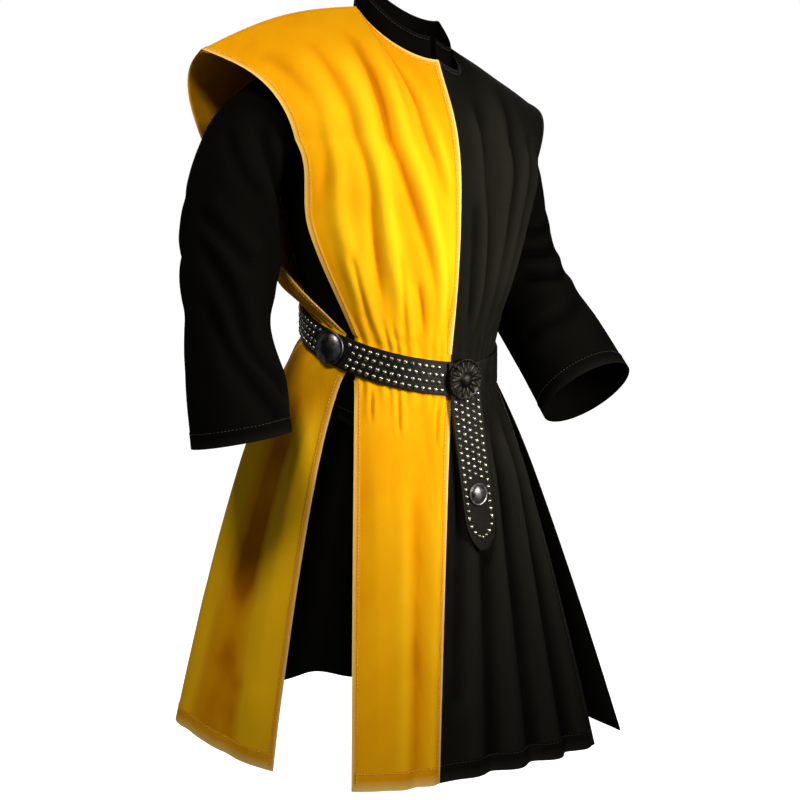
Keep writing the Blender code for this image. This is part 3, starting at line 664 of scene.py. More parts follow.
def surcoat_height(facing, side, u, v):
    """Folds, creases and wrinkles of a panel; under the belt only its gathers."""
    above = (BAND_TOP - v) / GATHER_REACH["above"]
    below = (v - BAND_LOW) / GATHER_REACH["below"]
    near_belt = ease(1 - np.maximum(above, below))
    in_belt = np.where((v >= BAND_TOP) & (v <= BAND_LOW), 1.0, 0.0)
    waver = GATHER_WAVER * np.sin(2 * pi * GATHER_WAVES * u + side + facing)
    gathers = BELT_FOLD_HEIGHT * (0.5 - 0.5 * np.cos(2 * pi * (BELT_FOLDS * u + waver))) * ease(u / SEAM_FLAT)
    free = crease_height(CREASES[facing, side], PANEL_SIZE, u, v)
    noise_place = np.full_like(u, WRINKLE_APART * facing + side)
    free += wrinkle_height(u * PANEL_SIZE[0], noise_place, v * PANEL_SIZE[1])
    free = np.where(free < 0, free * (1 - near_belt), free) * (1 - in_belt)
    free *= ease(u / SEAM_FLAT) * (1 - ease(1 - v / TOP_FLAT))
    return fold_height(FOLDS[facing, side], u, v) * (1 - in_belt) + gathers * near_belt + free


def under_top(facing, u):
    """The top edge of an under-tunic panel: its neckline and its two shoulders."""
    depth, drop = UNDER_NECK_FRONT if facing == FRONT else UNDER_NECK_BACK
    side = np.where(u > 0, LEFT, RIGHT)
    tilt = np.where(u > 0, NECK_TILT[LEFT], NECK_TILT[RIGHT])
    across = np.abs(u)
    turn = np.minimum(across / UNDER_NECK_SHARE, 1) * pi / 2
    neck = points_of(side * UNDER_NECK_HALF_WIDTH * np.sin(turn), facing * depth * np.cos(turn),
                     UNDER_NECK_Z - drop * np.cos(turn) - tilt * np.sin(turn))
    neck_side = points_of(side * UNDER_NECK_HALF_WIDTH, 0, UNDER_NECK_Z - tilt)
    tips = {s: np.array((s * ARMHOLES[s].out, ARMHOLES[s].back, ARMHOLES[s].top)) for s in (RIGHT, LEFT)}
    tip = np.where((side == LEFT)[:, None], tips[LEFT], tips[RIGHT])
    along = np.maximum(across - UNDER_NECK_SHARE, 0) / (1 - UNDER_NECK_SHARE)
    shoulder = neck_side + (tip - neck_side) * along[:, None]
    return np.where((across < UNDER_NECK_SHARE)[:, None], neck, shoulder)


def under_arm_level(facing, u, turn):
    """A row across the chest between the two armholes, at a turn of the armhole's oval."""
    left = u > 0
    pairs = zip(ARMHOLES[LEFT], ARMHOLES[RIGHT])
    out, back, top, bottom, half_depth = (np.where(left, a, b) for a, b in pairs)
    middle = (top + bottom) / 2
    z_edge = middle + (top - middle) * cos(turn)
    y_edge = back + facing * half_depth * sin(turn)
    z_centre = UNDER_CENTRE_TOP - UNDER_CENTRE_RUN * (turn / pi)
    neck_depth = (UNDER_NECK_FRONT if facing == FRONT else UNDER_NECK_BACK)[0]
    y_centre = facing * (neck_depth + (UNDER_CHEST_DEPTH[facing] - neck_depth) * ease(turn / pi))
    swing = np.abs(u) * pi / 2
    share = np.cos(swing)
    x = np.where(left, LEFT, RIGHT) * out * np.sin(swing)
    return points_of(x, y_edge + (y_centre - y_edge) * share, z_edge + (z_centre - z_edge) * share)


def under_waist(facing, u, rise, inset=UNDER_WALL + UNDER_WAIST_GAP):
    """A row across the under-tunic at the waist, inside the surcoat."""
    angle = u * pi / 2 if facing == FRONT else pi - u * pi / 2
    return waist_points(angle, WAIST_HALF_WIDTH - inset, WAIST_DEPTH - inset, rise)


def under_form(facing, u, v):
    """The under-tunic's body; v runs 0 to 1 down the armhole and 1 to 2 down the side seam."""
    rows = [under_top(facing, u)]
    rows += [under_arm_level(facing, u, pi * turn) for turn in UNDER_ARM_TURNS]
    band_top = under_waist(facing, u, BAND_HEIGHT / 2)
    upper = spline(rows + [band_top], np.clip(v, 0, 1) * len(UNDER_ARM_TURNS))
    band_low = under_waist(facing, u, -BAND_HEIGHT / 2)
    hem = under_waist(facing, u, -UNDER_HEM_DROP, UNDER_HEM_INSET)
    lower = np.stack([rows[-1], band_top, band_low, hem])
    place = np.clip(v - 1, 0, 1) * (len(lower) - 1)
    first = np.minimum(place.astype(int), len(lower) - 2)
    each = np.arange(len(u))
    below = lower[first, each] + (lower[first + 1, each] - lower[first, each]) * (place - first)[:, None]
    apart = ease((np.abs(u) / UNDER_NECK_SHARE - UNDER_SEAM_START) / (1 - UNDER_SEAM_START))
    return np.where((v <= 1)[:, None], upper, below) + points_of(0, facing * apart * SEAM_GAP / 2, 0)


def sleeve_form(side, around, down):
    """A sleeve runs from the edge of the armhole through its rings to the cuff."""
    turn = around * 2 * pi
    front_half = around <= 0.5
    hole_place = np.where(front_half, turn / pi, 2 - turn / pi)
    at_side = np.full_like(around, side)
    start = np.where(front_half[:, None], under_form(FRONT, at_side, hole_place),
                     under_form(BACK, at_side, hole_place))
    clear = SEAM_GAP + SLEEVE_CLEAR * (0.5 - 0.5 * np.cos(turn))
    rows = [start + points_of(side * clear, 0, 0)]
    for ring in SLEEVES[side]:
        swing, bend = radians(ring.swing), radians(ring.bend)
        outer = np.array((side * sin(swing), 0, cos(swing)))
        along = np.array((side * cos(swing), 0, -sin(swing)))
        front = np.array((0, -cos(bend), 0)) - along * sin(bend)
        centre = np.array((side * ring.out, ring.back, ring.z))
        reach = outer * (ring.half_width * np.cos(turn))[:, None]
        rows.append(centre + reach + front * (ring.half_depth * np.sin(turn))[:, None])
    return spline(rows, down * (len(rows) - 1))


def collar_form(around, up):
    """The stand collar on the neckline, from one side of its front slit round the back to the other."""
    turn = 4 * (COLLAR_SLIT + around * (1 - 2 * COLLAR_SLIT))
    to_front = np.where(turn <= 2, turn, turn - 4) * UNDER_NECK_SHARE
    to_back = (2 - turn) * UNDER_NECK_SHARE
    in_front = (turn <= 1) | (turn >= 3)
    top = np.zeros_like(around)
    base = np.where(in_front[:, None], under_form(FRONT, to_front, top), under_form(BACK, to_back, top))
    inward = base * np.array((-1, -1, 0))
    inward /= np.linalg.norm(inward, axis=1)[:, None]
    front_share = 0.5 - 0.5 * base[:, 1] / UNDER_NECK_FRONT[0]
    height = COLLAR_HEIGHT[BACK] + (COLLAR_HEIGHT[FRONT] - COLLAR_HEIGHT[BACK]) * front_share
    lean = SEAM_GAP + height * up * COLLAR_LEAN
    return base + inward * lean[:, None] + points_of(0, 0, height * up)


def grid_normals(points, closed):
    """Outward normals of a grid of points round the body, or round its own middle where it closes."""
    run = np.gradient(points, axis=1)
    if closed:
        run[:, 0] = run[:, -1] = points[:, 1] - points[:, -2]
    normals = np.cross(run, np.gradient(points, axis=0))
    normals /= np.linalg.norm(normals, axis=-1, keepdims=True)
    away = points - points.mean(axis=1, keepdims=True) if closed else points * np.array((1, 1, 0))
    return normals * np.sign((normals * away).sum())


def run_lengths(points, axis):
    """Lengths along the grid lines of one direction, from their start."""
    steps = np.linalg.norm(np.diff(points, axis=axis), axis=-1)
    return np.concatenate([np.zeros_like(steps.take([0], axis=axis)), np.cumsum(steps, axis=axis)], axis=axis)


# A surface: its places across and down, and for each its point, outward normal, place on the flat cloth,
# relief, and how strongly it takes the painted edge highlight
Surface = namedtuple("Surface", "across down points normals flat relief wear")


def surface_of(points, across, down, relief=None, closed=False):
    """A surface from its grid of points."""
    flat = np.stack([run_lengths(points, 1), run_lengths(points, 0)], axis=-1)
    plain = np.zeros(points.shape[:2])
    relief = plain if relief is None else relief
    return Surface(across, down, points, grid_normals(points, closed), flat, relief, plain)


def make_surface(form, across, down, height=None, closed=False):
    """A form on a grid, raised along its normals by a height."""
    u, v = (grid.ravel() for grid in np.meshgrid(across, down))
    shape = (len(down), len(across))
    points = form(u, v).reshape(*shape, 3)
    if height is None:
        return surface_of(points, across, down, closed=closed)
    relief = height(u, v).reshape(shape)
    if closed:
        relief[:, -1] = relief[:, 0]
    points = points + grid_normals(points, closed) * relief[..., None]
    return surface_of(points, across, down, relief, closed)


def sample(surface, u, v):
    """Points and normals of a surface at places between its grid points."""
    i = np.interp(u, surface.across, np.arange(len(surface.across)))
    j = np.interp(v, surface.down, np.arange(len(surface.down)))
    i0 = np.minimum(i.astype(int), len(surface.across) - 2)
    j0 = np.minimum(j.astype(int), len(surface.down) - 2)
    f, g = (i - i0)[:, None], (j - j0)[:, None]
    found = []
    for values in (surface.points, surface.normals):
        upper = values[j0, i0] * (1 - f) + values[j0, i0 + 1] * f
        lower = values[j0 + 1, i0] * (1 - f) + values[j0 + 1, i0 + 1] * f
        found.append(upper * (1 - g) + lower * g)
    return found


def inset_places(surface, edge, along, inset):
    """The (across, down) places at a distance in from an edge: centre, side, top or hem."""
    if edge in ("centre", "side"):
        rows = [np.argmin(abs(surface.down - place)) for place in along]
        runs = [(surface.flat[row, :, 0], surface.across) for row in rows]
    else:
        columns = [np.argmin(abs(surface.across - place)) for place in along]
        runs = [(surface.flat[:, column, 1], surface.down) for column in columns]
    from_start = edge in ("centre", "top")
    places = np.array([np.interp(inset if from_start else run[-1] - inset, run, at) for run, at in runs])
    return (places, along) if edge in ("centre", "side") else (along, places)


def add_grid(bm, surface, closed=False):
    """Adds a surface to a mesh as a grid of faces, with its flat places as UVs, its relief and its painted
    edge highlight.
    """
    rows, columns = len(surface.down) - 1, len(surface.across) - 1
    uv = bm.loops.layers.uv.get("UVMap") or bm.loops.layers.uv.new("UVMap")
    floats = bm.verts.layers.float
    relief, wear = (floats.get(name) or floats.new(name) for name in ("relief", "wear"))
    made = bmesh.ops.create_grid(bm, x_segments=columns, y_segments=rows, size=1)["verts"]
    spots = {vert: (round((1 - vert.co.y) / 2 * rows), round((vert.co.x + 1) / 2 * columns)) for vert in made}
    faces = {face for vert in made for face in vert.link_faces}
    for face in faces:
        for loop in face.loops:
            loop[uv].uv = surface.flat[spots[loop.vert]]
    for vert, spot in spots.items():
        vert.co = surface.points[spot]
        vert[relief] = surface.relief[spot]
        vert[wear] = surface.wear[spot]
    middle = made[len(made) // 2]
    middle_face = middle.link_faces[0]
    middle_face.normal_update()
    if middle_face.normal.dot(Vector(surface.normals[spots[middle]])) < 0:
        bmesh.ops.reverse_faces(bm, faces=list(faces))
    if closed:
        bmesh.ops.remove_doubles(bm, verts=made, dist=MERGE)


def add_piece(name, bm, finish, wall=0.0, offset=1, bevel=0.0, stands_for=None):
    """Makes a mesh an object that rides on the part, with a wall and rounded edges where asked."""
    mesh = bpy.data.meshes.new(name)
    bm.to_mesh(mesh)
    bm.free()
    mesh.shade_smooth()
    mesh.materials.append(finish)
    piece = bpy.data.objects.new(name, mesh)
    bpy.context.scene.collection.objects.link(piece)
    if wall:
        thicken = piece.modifiers.new("Wall", "SOLIDIFY")
        thicken.thickness = wall
        thicken.offset = offset
    if bevel:
        rounding = piece.modifiers.new("Rounded edges", "BEVEL")
        rounding.width = bevel
        rounding.segments = BEVEL_SEGMENTS
        rounding.limit_method = "ANGLE"
        rounding.angle_limit = radians(BEVEL_ANGLE)
    if wall or bevel:
        piece.modifiers.new("Even shading", "WEIGHTED_NORMAL")
    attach(piece, "root")
    if stands_for:
        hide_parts(stands_for)
    return piece


def edge_strip(surface, edge, start, end, width, lift):
    """A turned edge: a strip that lies on the cloth along an edge and just wraps round it."""
    length = max(2, round((end - start) * STRIP_STATIONS))
    along = np.linspace(start, end, length)
    rows = []
    for share in STRIP_SHARES:
        inset = share * width
        points, normals = sample(surface, *inset_places(surface, edge, along, inset))
        rows.append(points + normals * (lift - STRIP_SINK))
    inner, outward = sample(surface, *inset_places(surface, edge, along, width / 2))
    out = rows[0] - inner
    out /= np.linalg.norm(out, axis=1)[:, None]
    rows[0] = rows[0] + out * EDGE_WRAP
    points = np.stack(rows)
    strip = surface_of(points, along, np.array(STRIP_SHARES))
    facing_out = np.sign((strip.normals[1] * outward).sum())
    # A painted highlight along the fold of the edge, fading inward across the strip
    wear = np.repeat(np.array(STRIP_EDGE_HIGHLIGHT)[:, None], length, axis=1)
    return strip._replace(normals=strip.normals * facing_out, wear=wear)


def add_stitches(bm, surface, edge, start, end, inset, lift):
    """A row of running stitches on the cloth, beside an edge and along it."""
    fine = np.linspace(start, end, STITCH_STATIONS)
    points, normals = sample(surface, *inset_places(surface, edge, fine, inset))
    run = run_lengths(points, 0)
    count = int(run[-1] / STITCH_PITCH)
    for place in (np.arange(count) + 0.5) * STITCH_PITCH:
        ends = [np.array([np.interp(place + half, run, points[:, k]) for k in range(3)])
                for half in (-STITCH_LENGTH / 2, STITCH_LENGTH / 2)]
        normal = Vector([np.interp(place, run, normals[:, k]) for k in range(3)]).normalized()
        along = Vector(ends[1] - ends[0]).normalized()
        middle = Vector((ends[0] + ends[1]) / 2) + normal * lift
        turn = Matrix((along, normal.cross(along), normal)).transposed().to_4x4()
        size = Matrix.Diagonal((STITCH_LENGTH, STITCH_WIDTH, STITCH_WIDTH, 1))
        bmesh.ops.create_cube(bm, size=1, matrix=Matrix.Translation(middle) @ turn @ size)


def linear(colour):
    """A colour given as an sRGB hex value, in linear light."""
    parts = [int(colour[k:k + 2], 16) / 255 for k in (1, 3, 5)]
    return [p / 12.92 if p <= 0.04045 else ((p + 0.055) / 1.055) ** 2.4 for p in parts] + [1.0]


def add_node(tree, kind, inputs=None, **settings):
    """A node with its settings; each input is a value or another node's output."""
    made = tree.nodes.new(kind)
    for name, value in settings.items():
        setattr(made, name, value)
    for name, value in (inputs or {}).items():
        if isinstance(value, bpy.types.NodeSocket):
            tree.links.new(value, made.inputs[name])
        else:
            made.inputs[name].default_value = value
    return made


def new_material(name):
    """A material with its node tree and its shader."""
    made = bpy.data.materials.new(name)
    made.use_nodes = True
    return made, made.node_tree, made.node_tree.nodes["Principled BSDF"]


def twill(cloth):
    """Cotton twill: matt, with fine slanted ribs, a soft nap, painted shade in the hollows and a painted
    highlight on the ridges of its folds, and a painted highlight along its turned edges.
    """
    made, tree, shader = new_material(cloth.name)
    flat = add_node(tree, "ShaderNodeUVMap", uv_map="UVMap").outputs["UV"]
    turned = add_node(tree, "ShaderNodeMapping", {"Vector": flat, "Rotation": (0, 0, radians(RIB_SLANT))})
    ribs = add_node(tree, "ShaderNodeTexWave", {
        "Vector": turned.outputs["Vector"], "Scale": WAVE_PERIOD_MM / cloth.rib_mm,
        "Distortion": RIB_WAVER, "Detail": RIB_DETAIL, "Detail Scale": RIB_DETAIL_SCALE})
    nap = add_node(tree, "ShaderNodeTexNoise", {
        "Vector": flat, "Scale": 1000 / NAP_MM, "Detail": NAP_DETAIL})
    cloud = add_node(tree, "ShaderNodeTexNoise", {
        "Vector": flat, "Scale": 1000 / FADE_MM, "Detail": FADE_DETAIL})
    # Painted shade and highlight: the relief darkens the cloth in the hollows of its folds and lightens it on
    # their ridges
    relief = add_node(tree, "ShaderNodeAttribute", attribute_name="relief").outputs["Fac"]
    height = add_node(tree, "ShaderNodeMapRange", {
        "Value": relief, "From Min": RELIEF.low, "From Max": RELIEF.high})
    tone = add_node(tree, "ShaderNodeMix", {
        "Factor": RELIEF_SHARE, "A": cloud.outputs["Fac"], "B": height.outputs["Result"]})
    ramp = add_node(tree, "ShaderNodeValToRGB", {"Fac": tone.outputs["Result"]})
    stops = ramp.color_ramp.elements
    for stop, place, colour in zip(stops, (HOLLOW_SHADE_TONE, RIDGE_HIGHLIGHT_TONE), (cloth.deep, cloth.worn)):
        stop.position = place
        stop.color = linear(colour)
    stops.new(MAIN_TONE).color = linear(cloth.main)
    # A painted highlight along the folds of the turned edges: the strips' attribute mixes in the cloth's pale
    # edge tone, held in rubbed
    wear = add_node(tree, "ShaderNodeAttribute", attribute_name="wear").outputs["Fac"]
    rubbed = add_node(tree, "ShaderNodeMix", {
        "Factor": wear, "A": ramp.outputs["Color"], "B": linear(cloth.edge)}, data_type="RGBA")
    ribbed = add_node(tree, "ShaderNodeMix", {
        "Factor": RIB_TINT, "A": rubbed.outputs["Result"], "B": ribs.outputs["Color"]},
        data_type="RGBA", blend_type="SOFT_LIGHT")
    tree.links.new(ribbed.outputs["Result"], shader.inputs["Base Color"])
    rough = add_node(tree, "ShaderNodeMapRange", {
        "Value": nap.outputs["Fac"], "To Min": TWILL_ROUGH.low, "To Max": TWILL_ROUGH.high})
    tree.links.new(rough.outputs["Result"], shader.inputs["Roughness"])
    fine = add_node(tree, "ShaderNodeMath", {0: ribs.outputs["Fac"], 1: nap.outputs["Fac"]}, operation="ADD")
    bump = add_node(tree, "ShaderNodeBump", {
        "Height": fine.outputs["Value"], "Strength": TWILL_BUMP.strength, "Distance": TWILL_BUMP.depth})
    tree.links.new(bump.outputs["Normal"], shader.inputs["Normal"])
    shader.inputs["Specular IOR Level"].default_value = cloth.gloss
    return made


def leather(name):
    """Black bridle leather: waxed and half gloss, with a fine pebbled grain and greyer rubbed patches."""
    made, tree, shader = new_material(name)
    place = add_node(tree, "ShaderNodeTexCoord").outputs["Object"]
    pebble = add_node(tree, "ShaderNodeTexVoronoi", {
        "Vector": place, "Scale": 1000 / PEBBLE_MM}, feature="SMOOTH_F1")
    rub = add_node(tree, "ShaderNodeTexNoise", {
        "Vector": place, "Scale": 1000 / RUB_MM, "Detail": RUB_DETAIL})
    ramp = add_node(tree, "ShaderNodeValToRGB", {"Fac": rub.outputs["Fac"]})
    for stop, tone, colour in zip(ramp.color_ramp.elements, LEATHER_TONES, LEATHER_COLOURS):
        stop.position = tone
        stop.color = linear(colour)
    tree.links.new(ramp.outputs["Color"], shader.inputs["Base Color"])
    rough = add_node(tree, "ShaderNodeMapRange", {
        "Value": rub.outputs["Fac"], "To Min": LEATHER_ROUGH.low, "To Max": LEATHER_ROUGH.high})
    tree.links.new(rough.outputs["Result"], shader.inputs["Roughness"])
    bump = add_node(tree, "ShaderNodeBump", {
        "Height": pebble.outputs["Distance"],
        "Strength": LEATHER_BUMP.strength, "Distance": LEATHER_BUMP.depth})
    tree.links.new(bump.outputs["Normal"], shader.inputs["Normal"])
    shader.inputs["Specular IOR Level"].default_value = LEATHER_GLOSS
    return made


def blackened_steel(steel):
    """Cast steel, blackened and rubbed bright in patches, so it mirrors softly and unevenly."""
    made, tree, shader = new_material(steel.name)
    place = add_node(tree, "ShaderNodeTexCoord").outputs["Object"]
    rub = add_node(tree, "ShaderNodeTexNoise", {
        "Vector": place, "Scale": 1000 / METAL_RUB_MM, "Detail": METAL_RUB_DETAIL})
    pit = add_node(tree, "ShaderNodeTexNoise", {
        "Vector": place, "Scale": 1000 / PIT_MM, "Detail": PIT_DETAIL})
    ramp = add_node(tree, "ShaderNodeValToRGB", {"Fac": rub.outputs["Fac"]})
    for stop, tone, colour in zip(ramp.color_ramp.elements, STEEL_TONES, (steel.dark, steel.bare)):
        stop.position = tone
        stop.color = linear(colour)
    tree.links.new(ramp.outputs["Color"], shader.inputs["Base Color"])
    rough = add_node(tree, "ShaderNodeMapRange", {
        "Value": rub.outputs["Fac"], "To Min": steel.dull, "To Max": steel.smooth})
    tree.links.new(rough.outputs["Result"], shader.inputs["Roughness"])
    bump = add_node(tree, "ShaderNodeBump", {
        "Height": pit.outputs["Fac"], "Strength": STEEL_BUMP.strength, "Distance": STEEL_BUMP.depth})
    tree.links.new(bump.outputs["Normal"], shader.inputs["Normal"])
    shader.inputs["Metallic"].default_value = 1.0
    return made


def thread(name, dark, light):
    """Waxed sewing thread: two twisted strands, so its tone changes along each stitch."""
    made, tree, shader = new_material(name)
    place = add_node(tree, "ShaderNodeTexCoord").outputs["Object"]
    strand = add_node(tree, "ShaderNodeTexNoise", {
        "Vector": place, "Scale": 1000 / STRAND_MM, "Detail": STRAND_DETAIL})
    ramp = add_node(tree, "ShaderNodeValToRGB", {"Fac": strand.outputs["Fac"]})
    for stop, tone, colour in zip(ramp.color_ramp.elements, THREAD_TONES, (dark, light)):
        stop.position = tone
        stop.color = linear(colour)
    tree.links.new(ramp.outputs["Color"], shader.inputs["Base Color"])
    shader.inputs["Roughness"].default_value = THREAD_ROUGH
    return made


def sleeve_height(side, around, down):
    """Creases and wrinkles of a sleeve, flat at its head."""
    turn = around * 2 * pi
    radius = SLEEVE_SIZE[0] / (2 * pi)
    height = crease_height(SLEEVE_CREASES[side], SLEEVE_SIZE, around, down)
    height += wrinkle_height(radius * np.cos(turn), radius * np.sin(turn) + side, down * SLEEVE_SIZE[1])
    return height * ease(down / SLEEVE_HEAD_FLAT)


def under_height(facing, u, v):
    """Wrinkles of the under-tunic, flat at its edges and under the surcoat."""
    height = wrinkle_height(u * UNDER_SIZE[0], np.full_like(u, facing), v * UNDER_SIZE[1])
    sides = ease((1 - np.abs(u)) / UNDER_SIDE_FLAT)
    return height * sides * ease(v / UNDER_SIDE_FLAT) * ease((UNDER_FADE_END - v) / UNDER_FADE)


def panel_downs():
    """Places down a panel: above the belt, under it and below it."""
    upper = np.linspace(0, BAND_TOP, UPPER_ROWS, endpoint=False)
    band = np.linspace(BAND_TOP, BAND_LOW, BAND_ROWS, endpoint=False)
    return np.concatenate([upper, band, np.linspace(BAND_LOW, 1, SKIRT_ROWS + 1)])


def sewn_edges(name, surface, edges, lift, finish, thread_finish):
    """The turned edges of a cloth piece and their stitches, as two pieces."""
    strips = bmesh.new()
    stitches = bmesh.new()
    for edge, start, end, width in edges:
        add_grid(strips, edge_strip(surface, edge, start, end, width, lift))
        add_stitches(stitches, surface, edge, start, end, width - STITCH_IN, lift + STRIP_WALL)
    return [add_piece(name + "_edges", strips, finish, STRIP_WALL),
            add_piece(name + "_stitches", stitches, thread_finish)]


def shoulder_tape(name, side, finish):
    """A tape sewn under the outer part of a shoulder seam, so that no light shows through the seam."""
    across = np.linspace(TAPE_START, 1, TAPE_STATIONS)
    rows = [surcoat_form(facing, side, across, np.full(TAPE_STATIONS, down)) - points_of(0, 0, TAPE_DROP)
            for facing, down in ((FRONT, TAPE_REACH), (FRONT, 0.0), (BACK, TAPE_REACH))]
    bm = bmesh.new()
    add_grid(bm, surface_of(np.stack(rows), across, np.linspace(0, 1, len(rows))))
    return add_piece(name + "_tape", bm, finish, TAPE_WALL, offset=0)


def surcoat_panel(name, facing, side, finish, thread_finish):
    """A panel of the surcoat with its turned edges and stitches, and a tape where it is a back."""
    def form(u, v):
        seam = points_of(side * (1 - u), facing * ease(u / NECK_SHARE), 0) * SEAM_GAP
        return surcoat_form(facing, side, u, v) + seam

    def height(u, v):
        return surcoat_height(facing, side, u, v)

    surface = make_surface(form, np.linspace(0, 1, PANEL_COLUMNS + 1), panel_downs(), height)
    bm = bmesh.new()
    add_grid(bm, surface)
    panel = add_piece(name + "_cloth", bm, finish, SURCOAT_WALL, stands_for=name)
    above, below = (0.0, BAND_TOP - BELT_SLACK), (BAND_LOW + BELT_SLACK, 1.0)
    edges = [("top", 0.0, NECK_SHARE, EDGE_WIDTH), ("hem", 0.0, 1.0, HEM_WIDTH)]
    edges += [("side", *run, EDGE_WIDTH) for run in (above, below)]
    if (facing, side) == (FRONT, RIGHT):
        edges += [("centre", *run, EDGE_WIDTH) for run in (above, below)]
    trims = sewn_edges(name, surface, edges, SURCOAT_WALL, finish, thread_finish)
    if facing == BACK:
        trims.append(shoulder_tape(name, side, finish))


def under_panel(name, facing, finish, thread_finish):
    """The front or the back of the under-tunic."""
    def form(u, v):
        return under_form(facing, u, v)

    def height(u, v):
        return under_height(facing, u, v)

    arm_rows = np.linspace(0, 1, UNDER_ARM_ROWS, endpoint=False)
    down = np.concatenate([arm_rows, np.linspace(1, 2, UNDER_BODY_ROWS + 1)])
    surface = make_surface(form, np.linspace(-1, 1, UNDER_COLUMNS + 1), down, height)
    bm = bmesh.new()
    add_grid(bm, surface)
    panel = add_piece(name + "_cloth", bm, finish, UNDER_WALL, stands_for=name)
    edges = [("hem", -1.0, 1.0, CUFF_WIDTH)]
    trims = sewn_edges(name, surface, edges, UNDER_WALL, finish, thread_finish)


def sleeve(name, side, finish, thread_finish):
    """A sleeve from its armhole to its turned cuff."""
    def form(around, down):
        return sleeve_form(side, around, down)

    def height(around, down):
        return sleeve_height(side, around, down)

    surface = make_surface(form, np.linspace(0, 1, SLEEVE_SIDES + 1), np.linspace(0, 1, SLEEVE_ROWS + 1),
                           height, closed=True)
    bm = bmesh.new()
    add_grid(bm, surface, closed=True)
    tube = add_piece(name + "_cloth", bm, finish, UNDER_WALL, offset=-1, stands_for=name)
    edges = [("hem", 0.0, 1.0, CUFF_WIDTH)]
    trims = sewn_edges(name, surface, edges, 0.0, finish, thread_finish)


def collar(finish, thread_finish):
    """The stand collar, with a turned upper edge."""
    surface = make_surface(collar_form, np.linspace(0, 1, COLLAR_COLUMNS + 1),
                           np.linspace(0, 1, COLLAR_ROWS + 1))
    bm = bmesh.new()
    add_grid(bm, surface)
    band = add_piece("collar_cloth", bm, finish, UNDER_WALL, offset=-1, stands_for="collar")
    edges = [("hem", 0.0, 1.0, COLLAR_EDGE)]
    trims = sewn_edges("collar", surface, edges, 0.0, finish, thread_finish)


def belt_outside(angle, rise, lift):
    """Places and outward directions on the strap's outer face, at turns from the front."""
    reach = BELT_CLEAR + LEATHER_WALL + lift
    places = waist_points(angle, WAIST_HALF_WIDTH + reach, WAIST_DEPTH + reach, rise)
    normals = points_of(np.sin(angle) / WAIST_HALF_WIDTH, -np.cos(angle) / WAIST_DEPTH, 0)
    return places, normals / np.linalg.norm(normals, axis=-1, keepdims=True)


def end_form(u, down):
    """The inner face of the hanging strap end, from behind the buckle to its rounded tip."""
    past = np.maximum(0.0, down - END_ROUND_START) / (1 - END_ROUND_START)
    half = END_WIDTH / 2 * np.maximum(END_TIP_SHARE, np.sqrt(1 - past ** 2))
    x = END_TOP[0] + (END_TIP[0] - END_TOP[0]) * down + (2 * u - 1) * half
    hang = np.maximum(0.0, down - END_FREE) / (1 - END_FREE)
    front = WAIST_DEPTH + BELT_CLEAR + LEATHER_WALL + SEAM_GAP + END_LEAN * hang
    return points_of(x, -front, END_TOP[1] + (END_TIP[1] - END_TOP[1]) * down)


def facing_matrix(place, normal):
    """Puts a shape that faces +Z at a place, facing along a normal."""
    turn = Vector(normal).to_track_quat("Z", "Y").to_matrix().to_4x4()
    return Matrix.Translation(Vector(place)) @ turn


def add_studs(bm, places, normals):
    """Dome studs at places on the leather."""
    flatten = Matrix.Diagonal((STUD_RADIUS, STUD_RADIUS, STUD_RADIUS * STUD_RISE, 1))
    for place, normal in zip(places, normals):
        put = facing_matrix(place, normal) @ flatten
        bmesh.ops.create_icosphere(bm, subdivisions=STUD_FINENESS, radius=1, matrix=put)


def add_spun(bm, profile, matrix):
    """A turned shape from (radius, height) places, its axis along +Z before it is put in place."""
    verts = [bm.verts.new((radius, 0, height)) for radius, height in profile]
    edges = [bm.edges.new(pair) for pair in zip(verts, verts[1:])]
    bmesh.ops.spin(bm, geom=verts + edges, cent=(0, 0, 0), axis=(0, 0, 1), angle=2 * pi,
                   steps=CONCHO_STEPS, use_merge=True)
    bmesh.ops.remove_doubles(bm, verts=bm.verts, dist=MERGE)
    bmesh.ops.recalc_face_normals(bm, faces=bm.faces)
    bmesh.ops.transform(bm, matrix=matrix, verts=bm.verts)


def belt_strap(finish):
    """The strap round the waist."""
    def form(u, v):
        rise = BELT_WIDTH * (0.5 - v)
        return waist_points(2 * pi * u, WAIST_HALF_WIDTH + BELT_CLEAR, WAIST_DEPTH + BELT_CLEAR, rise)

    surface = make_surface(form, np.linspace(0, 1, BELT_SIDES + 1), np.linspace(0, 1, 2), closed=True)
    bm = bmesh.new()
    add_grid(bm, surface, closed=True)
    add_piece("belt_strap_leather", bm, finish, LEATHER_WALL, 1, BELT_BEVEL, "belt_strap")


def belt_end(finish):
    """The hanging end of the strap; gives its inner face, for what sits on it."""
    surface = make_surface(end_form, np.linspace(0, 1, END_COLUMNS + 1), np.linspace(0, 1, END_ROWS + 1))
    bm = bmesh.new()
    add_grid(bm, surface)
    add_piece("belt_end_leather", bm, finish, LEATHER_WALL, 1, BELT_BEVEL, "belt_end")
    return surface


def belt_studs(finish):
    """Staggered rows of dome studs round the strap, clear of its end, its concho and its plain lap."""
    fine = np.linspace(0, 2 * pi, BELT_STATIONS)
    run = run_lengths(belt_outside(fine, 0.0, 0.0)[0], 0)
    count = round(run[-1] / STUD_PITCH)
    concho_place = belt_outside(np.array([-radians(SIDE_CONCHO_ANGLE)]), 0.0, 0.0)[0][0]
    bm = bmesh.new()
    for row, rise in enumerate(STUD_ROWS):
        along = (np.arange(count) + STUD_STAGGER * (row % 2)) / count * run[-1]
        places, normals = belt_outside(np.interp(along, run, fine), rise, 0.0)
        under_end = (places[:, 1] < 0) & (abs(places[:, 0] - END_TOP[0]) < END_WIDTH / 2 + STUD_ROOM)
        by_concho = np.linalg.norm(places - concho_place, axis=1) < SIDE_CONCHO_RADIUS + STUD_ROOM
        free = ~(under_end | by_concho | (along < PLAIN_LAP))
        add_studs(bm, places[free], normals[free])
    add_piece("belt_studs", bm, finish)


